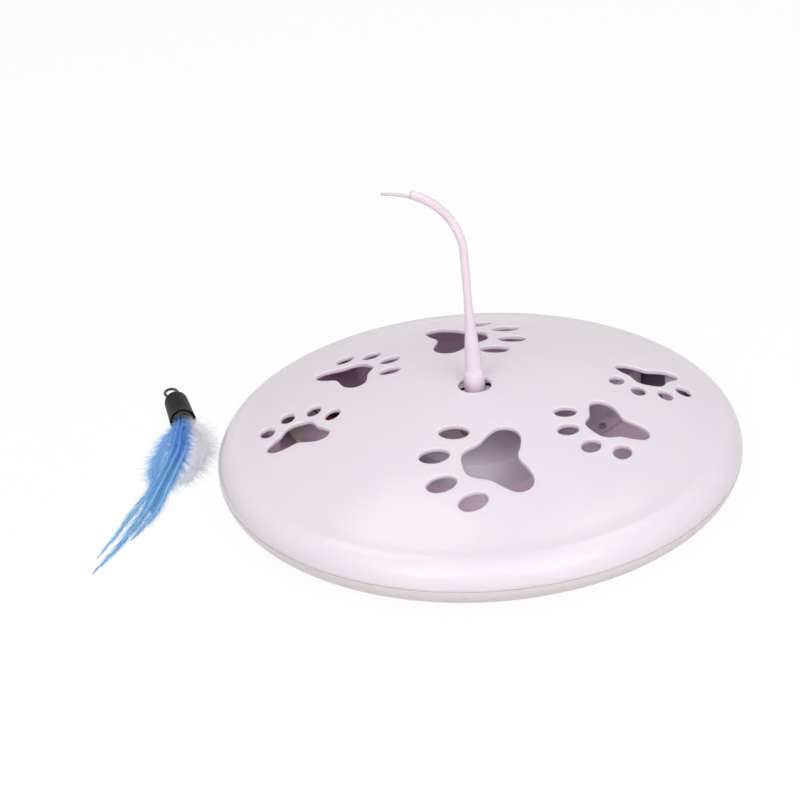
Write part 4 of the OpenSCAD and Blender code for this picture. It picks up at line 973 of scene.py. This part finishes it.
def movedBy(tree, geometry, **how):
    return addNode(tree, "GeometryNodeSetPosition", {"Geometry": geometry, **how}).outputs["Geometry"]


def turnedTo(tree, first, second, angle):
    # the first direction, turned towards the second
    stay = vectorNode(tree, "SCALE", {0: first, "Scale": mathNode(tree, "COSINE", angle)})
    move = vectorNode(tree, "SCALE", {0: second, "Scale": mathNode(tree, "SINE", angle)})
    return vectorNode(tree, "ADD", {0: stay, 1: move})


def taperedBlade(tree, curve, halfWidth, flatness):
    # a slim closed blade that lies flat along the line and narrows to its end
    taper = mathNode(tree, "SUBTRACT", 1.0, mathNode(tree, "MULTIPLY", alongCurve(tree), 0.85))
    level = addNode(tree, "GeometryNodeSetCurveNormal", {"Curve": curve}, mode="Z_UP")
    section = addNode(tree, "GeometryNodeCurvePrimitiveQuadrilateral", mode="RECTANGLE")
    wire(tree, 2 * flatness, section.inputs["Width"])
    wire(tree, 2.0, section.inputs["Height"])
    blade = {"Curve": level.outputs["Curve"], "Profile Curve": section.outputs["Curve"],
             "Scale": mathNode(tree, "MULTIPLY", halfWidth, taper), "Fill Caps": True}
    return addNode(tree, "GeometryNodeCurveToMesh", blade).outputs["Mesh"]


featherSockets = {"Barb Count": "Int", "Barb Width": "Float", "Lean": "Float", "Lean Jitter": "Float",
                  "Roll Spread": "Float", "Curl": "Float", "Wobble": "Float", "Shortest": "Float",
                  "Shaft Width": "Float", "Floor": "Float", "Seed": "Int", "Dress": "Material"}
barbShape = {"points": 5, "longest": 1.05, "waveScale": 240.0, "flatness": 0.3, "shaftFlatness": 0.8}


def buildFeatherTree():
    tree = bpy.data.node_groups.new("featherBarbs", "GeometryNodeTree")
    tree.interface.new_socket("Geometry", in_out="INPUT", socket_type="NodeSocketGeometry")
    for label, kind in featherSockets.items():
        tree.interface.new_socket(label, in_out="INPUT", socket_type="NodeSocket" + kind)
    tree.interface.new_socket("Geometry", in_out="OUTPUT", socket_type="NodeSocketGeometry")
    given = tree.nodes.new("NodeGroupInput").outputs
    done = tree.nodes.new("NodeGroupOutput")
    seed = given["Seed"]

    def draw(low, high, step):
        return randomBetween(tree, low, high, mathNode(tree, "ADD", seed, step))

    def drawAround(spread, step):
        return draw(mathNode(tree, "MULTIPLY", spread, -1.0), spread, step)

    # barbs start at points along the guide, each with its place on the shaft and a tone of its own
    guide = addNode(tree, "GeometryNodeMeshToCurve", {"Mesh": given["Geometry"]}).outputs["Curve"]
    dotted = {"Curve": guide, "Count": given["Barb Count"]}
    dots = addNode(tree, "GeometryNodeCurveToPoints", dotted, mode="COUNT")
    number = addNode(tree, "GeometryNodeInputIndex").outputs[0]
    place = mathNode(tree, "DIVIDE", number, given["Barb Count"])
    points = keepValue(tree, dots.outputs["Points"], "shaft", place)
    points = keepValue(tree, points, "lay", randomBetween(tree, 0.0, 1.0, seed))
    # each leans off the shaft to its left or right
    ahead = dots.outputs["Tangent"]
    side = vectorNode(tree, "CROSS_PRODUCT", {0: ahead, 1: (0.0, 0.0, 1.0)})
    side = vectorNode(tree, "NORMALIZE", {0: side})
    lift = vectorNode(tree, "CROSS_PRODUCT", {0: side, 1: ahead})
    flip = mathNode(tree, "MULTIPLY", mathNode(tree, "ROUND", draw(0.0, 1.0, 1.0)), math.pi)
    roll = mathNode(tree, "ADD", flip, drawAround(given["Roll Spread"], 2.0))
    lean = mathNode(tree, "ADD", given["Lean"], drawAround(given["Lean Jitter"], 3.0))
    aim = turnedTo(tree, ahead, turnedTo(tree, side, lift, roll), lean)
    point = addNode(tree, "FunctionNodeAlignRotationToVector", {"Vector": aim}, axis="Z")
    turned = {"Rotation": point.outputs["Rotation"], "Vector": ahead}
    curlWay = addNode(tree, "FunctionNodeAlignRotationToVector", turned, axis="X", pivot_axis="Z")
    share = draw(given["Shortest"], barbShape["longest"], 4.0)
    reach = mathNode(tree, "MULTIPLY", readValue(tree, "reach"), share)
    # one barb: a short line that bends towards the feather's tip
    line = addNode(tree, "GeometryNodeCurvePrimitiveLine", {"End": (0.0, 0.0, 1.0)}).outputs["Curve"]
    cut = {"Curve": line, "Count": barbShape["points"]}
    barb = addNode(tree, "GeometryNodeResampleCurve", cut).outputs["Curve"]
    along = alongCurve(tree)
    curl = mathNode(tree, "MULTIPLY", given["Curl"], mathNode(tree, "MULTIPLY", along, along))
    bend = addNode(tree, "ShaderNodeCombineXYZ", {"X": curl}).outputs["Vector"]
    sprayed = {"Points": points, "Instance": movedBy(tree, barb, Offset=bend),
               "Rotation": curlWay.outputs["Rotation"], "Scale": reach}
    spray = addNode(tree, "GeometryNodeInstanceOnPoints", sprayed).outputs["Instances"]
    loose = addNode(tree, "GeometryNodeRealizeInstances", {"Geometry": spray}).outputs["Geometry"]
    barbLine = keepValue(tree, loose, "barb", alongCurve(tree))
    # soft waves that grow towards each barb's end
    waves = addNode(tree, "ShaderNodeTexNoise", {"Scale": barbShape["waveScale"]}).outputs["Color"]
    sway = vectorNode(tree, "SUBTRACT", {0: waves, 1: (0.5, 0.5, 0.5)})
    amount = mathNode(tree, "MULTIPLY", given["Wobble"], readValue(tree, "barb"))
    swayed = movedBy(tree, barbLine, Offset=vectorNode(tree, "SCALE", {0: sway, "Scale": amount}))
    barbs = taperedBlade(tree, swayed, given["Barb Width"], barbShape["flatness"])
    shaftLine = keepValue(tree, guide, "shaft", alongCurve(tree))
    shaft = taperedBlade(tree, shaftLine, given["Shaft Width"], barbShape["shaftFlatness"])
    both = addNode(tree, "GeometryNodeJoinGeometry", {0: barbs})
    wire(tree, shaft, both.inputs[0])
    # what would sink lies down on the floor instead, each barb at its own height
    where = addNode(tree, "GeometryNodeInputPosition").outputs[0]
    above = mathNode(tree, "MULTIPLY", readValue(tree, "lay"), given["Floor"])
    rest = mathNode(tree, "ADD", given["Floor"], above)
    settled = {axis: axisOf(tree, where, axis) for axis in "XYZ"}
    settled["Z"] = mathNode(tree, "MAXIMUM", settled["Z"], rest)
    settled = addNode(tree, "ShaderNodeCombineXYZ", settled).outputs["Vector"]
    lying = movedBy(tree, both.outputs[0], Position=settled)
    solid = addNode(tree, "GeometryNodeRealizeInstances", {"Geometry": lying}).outputs["Geometry"]
    dressed = {"Geometry": solid, "Material": given["Dress"]}
    wire(tree, addNode(tree, "GeometryNodeSetMaterial", dressed).outputs["Geometry"], done.inputs[0])
    return tree


featherTree = buildFeatherTree()
featherGloss = {"Sheen Weight": 0.15, "Sheen Roughness": 0.4, "Specular IOR Level": 0.2}
featherSetup = {"streak": 0.35, "rough": (0.55, 0.75), "floorGap": 0.15, "leastSlope": 0.12, "steps": 6}


def featherMaterial(name, spec):
    material, tree, shader = newMaterial(name, featherGloss)
    tone = placeGroup(tree, featherGroup, Fade_Start=spec["fade"][0], Fade_End=spec["fade"][1])
    colour = mixColours(tree, tone["Along"], tint(*spec["near"]), tint(*spec["far"]))
    tipped = mathNode(tree, "MULTIPLY", tone["Tip"], spec["tipShare"])
    colour = mixColours(tree, tipped, colour, tint(*spec["tip"]))
    streaked = mathNode(tree, "MULTIPLY", tone["Streak"], featherSetup["streak"])
    colour = mixColours(tree, streaked, colour, tint(*spec["pale"]))
    wire(tree, colour, shader.inputs["Base Color"])
    wire(tree, spanNode(tree, tone["Streak"], *featherSetup["rough"]), shader.inputs["Roughness"])
    # thin barbs let light through
    thin = addNode(tree, "ShaderNodeBsdfTranslucent", {"Color": colour})
    mixShaders(tree, spec["through"], shader, thin)
    return material


# how the barbs of the fluffy plumes and of the slender feathers grow, unless one has its own values
fluffy = {"through": 0.55, "width": 0.1, "jitter": 32, "spread": 38, "wobble": 5, "shortest": 0.3,
          "shaft": 0.12}
slender = {"slot": "feather_blue", "tipShare": 0.5, "through": 0.15, "width": 0.1, "jitter": 6, "spread": 30,
           "curl": -0.04, "wobble": 1.2, "shortest": 0.5, "shaft": 0.2}
# each feather: its tones, stations past the cap's mouth, sideways, up and half width, then how its barbs grow
feathers = {
    "bluePlume": {
        **fluffy, "node": "blue_plume", "slot": "feather_blue", "near": (80, 172, 255),
        "far": (122, 212, 255), "tip": (210, 240, 255), "pale": (200, 234, 255), "tipShare": 0.9,
        "fade": (0.3, 0.85), "through": 0.4,
        "stations": [(-8.7, 0, -2, 4), (0, -0.5, -1, 6.4), (12, -3, -0.6, 8), (28, -7, -1.4, 8.6),
                     (45, -14, -2.6, 7.4), (58, -21.5, -4.4, 5.4), (68, -28, -5.6, 3)],
        "count": 3800, "width": 0.15, "lean": 36, "jitter": 24, "spread": 32, "curl": 0.15, "shaft": 0.4,
        "seed": 3},
    "whitePlume": {
        **fluffy, "node": "white_plume", "slot": "feather_white", "near": (255, 253, 255),
        "far": (250, 250, 255), "tip": (255, 254, 255), "pale": (255, 255, 255), "tipShare": 0.6,
        "fade": (0.3, 0.9),
        "stations": [(-8.7, 3.2, -1.5, 3.4), (0, 3.4, -1.2, 6), (6, 5, -1.4, 7.4), (12, 6.8, -2, 8.4),
                     (28, 5.6, -3.2, 9.4), (40, 0.6, -4, 8.4), (52, -8, -5.4, 4.5)],
        "count": 2600, "lean": 48, "curl": 0.2, "seed": 11},
    "palePlume": {
        **fluffy, "node": "pale_plume", "slot": "feather_pale", "near": (176, 224, 255),
        "far": (184, 228, 255), "tip": (232, 246, 255), "pale": (238, 248, 255), "tipShare": 0.7,
        "fade": (0.2, 0.9),
        "stations": [(-8.7, -3.2, -1.5, 2), (0, -4, -1.6, 3.4), (6, -7.8, -2.4, 5), (12, -11.4, -3.2, 6),
                     (20, -15.2, -4.2, 7), (28, -18.2, -4.6, 7), (38, -21.2, -5, 6), (47, -23, -5.8, 3.4)],
        "count": 2200, "lean": 46, "curl": 0.25, "seed": 23},
    "longFeather1": {
        **slender, "node": "long_feather_1", "near": (132, 198, 255), "far": (146, 213, 255),
        "tip": (158, 214, 255), "pale": (184, 226, 255), "fade": (0.25, 0.6),
        "stations": [(-8.7, 0, 0, 0.3), (0, 0, 0.4, 0.3), (12, -3, 0.8, 0.4), (28, -7, 0.9, 0.8),
                     (45, -14.5, 0, 2.4), (58, -22, -2.3, 3.4), (68, -28, -4.4, 3.2), (82, -37, -5.5, 2.2),
                     (98, -48, -5.7, 1.4), (113, -60, -5.9, 0.3)],
        "count": 1500, "lean": 10, "shaft": 0.22, "seed": 31},
    "longFeather2": {
        **slender, "node": "long_feather_2", "near": (138, 202, 255), "far": (152, 216, 255),
        "tip": (166, 218, 255), "pale": (190, 229, 255), "fade": (0.2, 0.55),
        "stations": [(-8.7, -2, 0, 0.3), (0, -2.4, 0.2, 0.3), (12, -5.6, 0.6, 0.4), (28, -10.4, 0.5, 0.8),
                     (45, -18.6, -0.8, 2), (58, -27.2, -3.6, 2.2), (70, -36, -5.3, 1.6),
                     (85, -45.5, -5.7, 1.1), (101, -56.5, -5.9, 0.3)],
        "count": 1200, "lean": 9, "seed": 41},
    "longFeather3": {
        **slender, "node": "long_feather_3", "near": (130, 196, 255), "far": (146, 213, 255),
        "tip": (160, 215, 255), "pale": (184, 226, 255), "fade": (0.25, 0.6),
        "stations": [(-8.7, 2, 0, 0.3), (0, 2.4, 0.2, 0.3), (12, 0.4, 0.6, 0.4), (28, -3, 0.5, 0.8),
                     (45, -10.2, -0.2, 2.2), (58, -17.2, -2.4, 2.8), (70, -24, -5.2, 2.2),
                     (82, -32, -5.6, 1.2), (92, -39.5, -5.9, 0.3)],
        "count": 1300, "lean": 10, "seed": 53},
}


def makeFeather(name, spec):
    stations = [(mouthX + x, y, mouthZ + z, w) for x, y, z, w in spec["stations"]]
    line = smoothLine(stations, featherSetup["steps"])
    guide = bpy.data.meshes.new(name + "Guide")
    spots = [tuple(p * mm) for p in inLure(line[:, :3])]
    guide.from_pydata(spots, [(i, i + 1) for i in range(len(line) - 1)], [])
    lean = math.radians(spec["lean"])
    reach = line[:, 3] * mm / max(math.sin(lean), featherSetup["leastSlope"])
    guide.attributes.new("reach", "FLOAT", "POINT").data.foreach_set("value", reach.astype(np.float32))
    drawn = linkObject(name + "Guide", guide)
    modifier = drawn.modifiers.new("barbs", "NODES")
    modifier.node_group = featherTree
    values = {"Barb Count": spec["count"], "Barb Width": spec["width"] * mm, "Lean": lean,
              "Lean Jitter": math.radians(spec["jitter"]), "Roll Spread": math.radians(spec["spread"]),
              "Curl": spec["curl"], "Wobble": spec["wobble"] * mm, "Shortest": spec["shortest"],
              "Shaft Width": spec["shaft"] * mm, "Floor": featherSetup["floorGap"] * mm, "Seed": spec["seed"],
              "Dress": featherMaterial(name, spec)}
    for item in featherTree.interface.items_tree:
        if item.in_out == "INPUT" and item.name in values:
            modifier[item.identifier] = values[item.name]
    drawn.update_tag()
    bpy.context.view_layer.update()
    depsgraph = bpy.context.evaluated_depsgraph_get()
    mesh = bpy.data.meshes.new_from_object(drawn.evaluated_get(depsgraph))
    mesh.name = name
    bpy.data.objects.remove(drawn)
    addPiece(name, mesh, None, "lure", spec["slot"], spec["node"])  # the tree has set its material
    print(name, len(mesh.polygons), "faces")


for featherName, featherSpec in feathers.items():
    makeFeather(featherName, featherSpec)

# solids that keep their own shape take a finish
finishFor = {
    "baseGloss": ("base_tray", "battery_door"),
    # the gearbox cover takes the painted light copy of the inner satin
    "drumSatinPaintedLight": ("gearbox_cover",),
    "innerSatin": ("battery_holder", "motor_end_cap"),
    "footRubber": ("foot_centre", "foot_1", "foot_2", "foot_3", "foot_4"),
    "screwZinc": ("cover_screws", "gearbox_screws", "holder_screws", "door_screw", "board_screws",
                  "motor_clip_screws"),
    "axleSteel": ("output_axle", "idler_axle", "motor_shaft", "motor_clip"),
    "bushBronze": ("output_bush",),
    "gearNylon": ("output_gear", "idler_gear"),
    "motorCan": ("motor_can",),
    "blackSatin": ("switch_body", "timer_chip", "board_capacitor"),
    "pinionBrass": ("motor_pinion", "motor_terminals"),
    "contactNickel": ("contact_plates", "contact_leaves"),
    "cellJacket": ("battery_cell_1", "battery_cell_2", "battery_cell_3"),
    # the board's cream also stands in for a patch of light seen through a paw window
    "laminateAndLightPatch": ("circuit_board",),
    "resistorClay": ("board_resistors",),
    "knobGrey": ("switch_knob",),
    "wireRed": ("battery_wire_red", "motor_wire_red"),
    "wireBlack": ("battery_wire_black", "motor_wire_black"),
    "setGlue": ("quill_plug",),
}
for finish, solids in finishFor.items():
    for solid in solids:
        dress(nodes[solid], look[finish])
print("solids dressed:", sum(len(solids) for solids in finishFor.values()))

# floor, light and backdrop
studio = {"floorTone": (246, 244, 246), "floorRough": 0.9, "floorWhite": 0.95, "floorHalf": 15,
          "floorLow": -0.0002, "skyLight": 0.12}
lamps = {
    "leftBox": {"place": (-0.34, 0.2, 1.0), "aim": (-0.1, 0, 0), "size": (0.66, 0.4), "power": 2.1},
    "rightBox": {"place": (0.45, 0.2, 1.0), "aim": (0.1, 0, 0), "size": (0.45, 0.4), "power": 1.4},
    "topKey": {"place": (0.1, -0.85, 1.3), "aim": (0, 0, 0), "size": (2.4, 1.3), "power": 12.5},
    "frontLeft": {"place": (-0.7, -1.6, 1.1), "aim": (0, 0, 0), "size": (1.1, 0.9), "power": 9.0},
    "frontRight": {"place": (0.8, -1.5, 1.1), "aim": (0, 0, 0), "size": (1.1, 0.9), "power": 11.0},
}


def seenDirectly(tree):
    # 1 for the camera and for what gloss and clear pieces show
    path = addNode(tree, "ShaderNodeLightPath").outputs
    through = mathNode(tree, "MAXIMUM", path["Is Glossy Ray"], path["Is Transmission Ray"])
    return mathNode(tree, "MAXIMUM", path["Is Camera Ray"], through)


def makeFloor():
    half, low = studio["floorHalf"], studio["floorLow"]
    mesh = bpy.data.meshes.new("floor")
    corners = [(-half, -half, low), (half, -half, low), (half, half, low), (-half, half, low)]
    mesh.from_pydata(corners, [], [(0, 1, 2, 3)])
    floor = linkObject("floor", mesh)
    paper = {"Base Color": tint(*studio["floorTone"]), "Roughness": studio["floorRough"]}
    material, tree, shader = newMaterial("floorPaper", paper)
    share = mathNode(tree, "MULTIPLY", seenDirectly(tree), studio["floorWhite"])
    mixShaders(tree, share, shader, addNode(tree, "ShaderNodeEmission"))
    dress(floor, material)


def makeSky():
    world = bpy.data.worlds.new("studioSky")
    scene.world = world
    world.use_nodes = True
    tree = world.node_tree
    back = tree.nodes["Background"]
    back.inputs["Color"].default_value = (1, 1, 1, 1)
    wire(tree, spanNode(tree, seenDirectly(tree), studio["skyLight"], 1.0), back.inputs["Strength"])


def makeLamp(name, spec):
    data = bpy.data.lights.new(name, "AREA")
    data.shape = "RECTANGLE"
    data.size, data.size_y = spec["size"]
    data.energy = spec["power"]
    lamp = linkObject(name, data)
    lamp.location = spec["place"]
    aim = Vector(spec["aim"]) - Vector(spec["place"])
    lamp.rotation_euler = aim.to_track_quat("-Z", "Y").to_euler()


makeFloor()
makeSky()
for lampName, lampSpec in lamps.items():
    makeLamp(lampName, lampSpec)
print("studio lit")
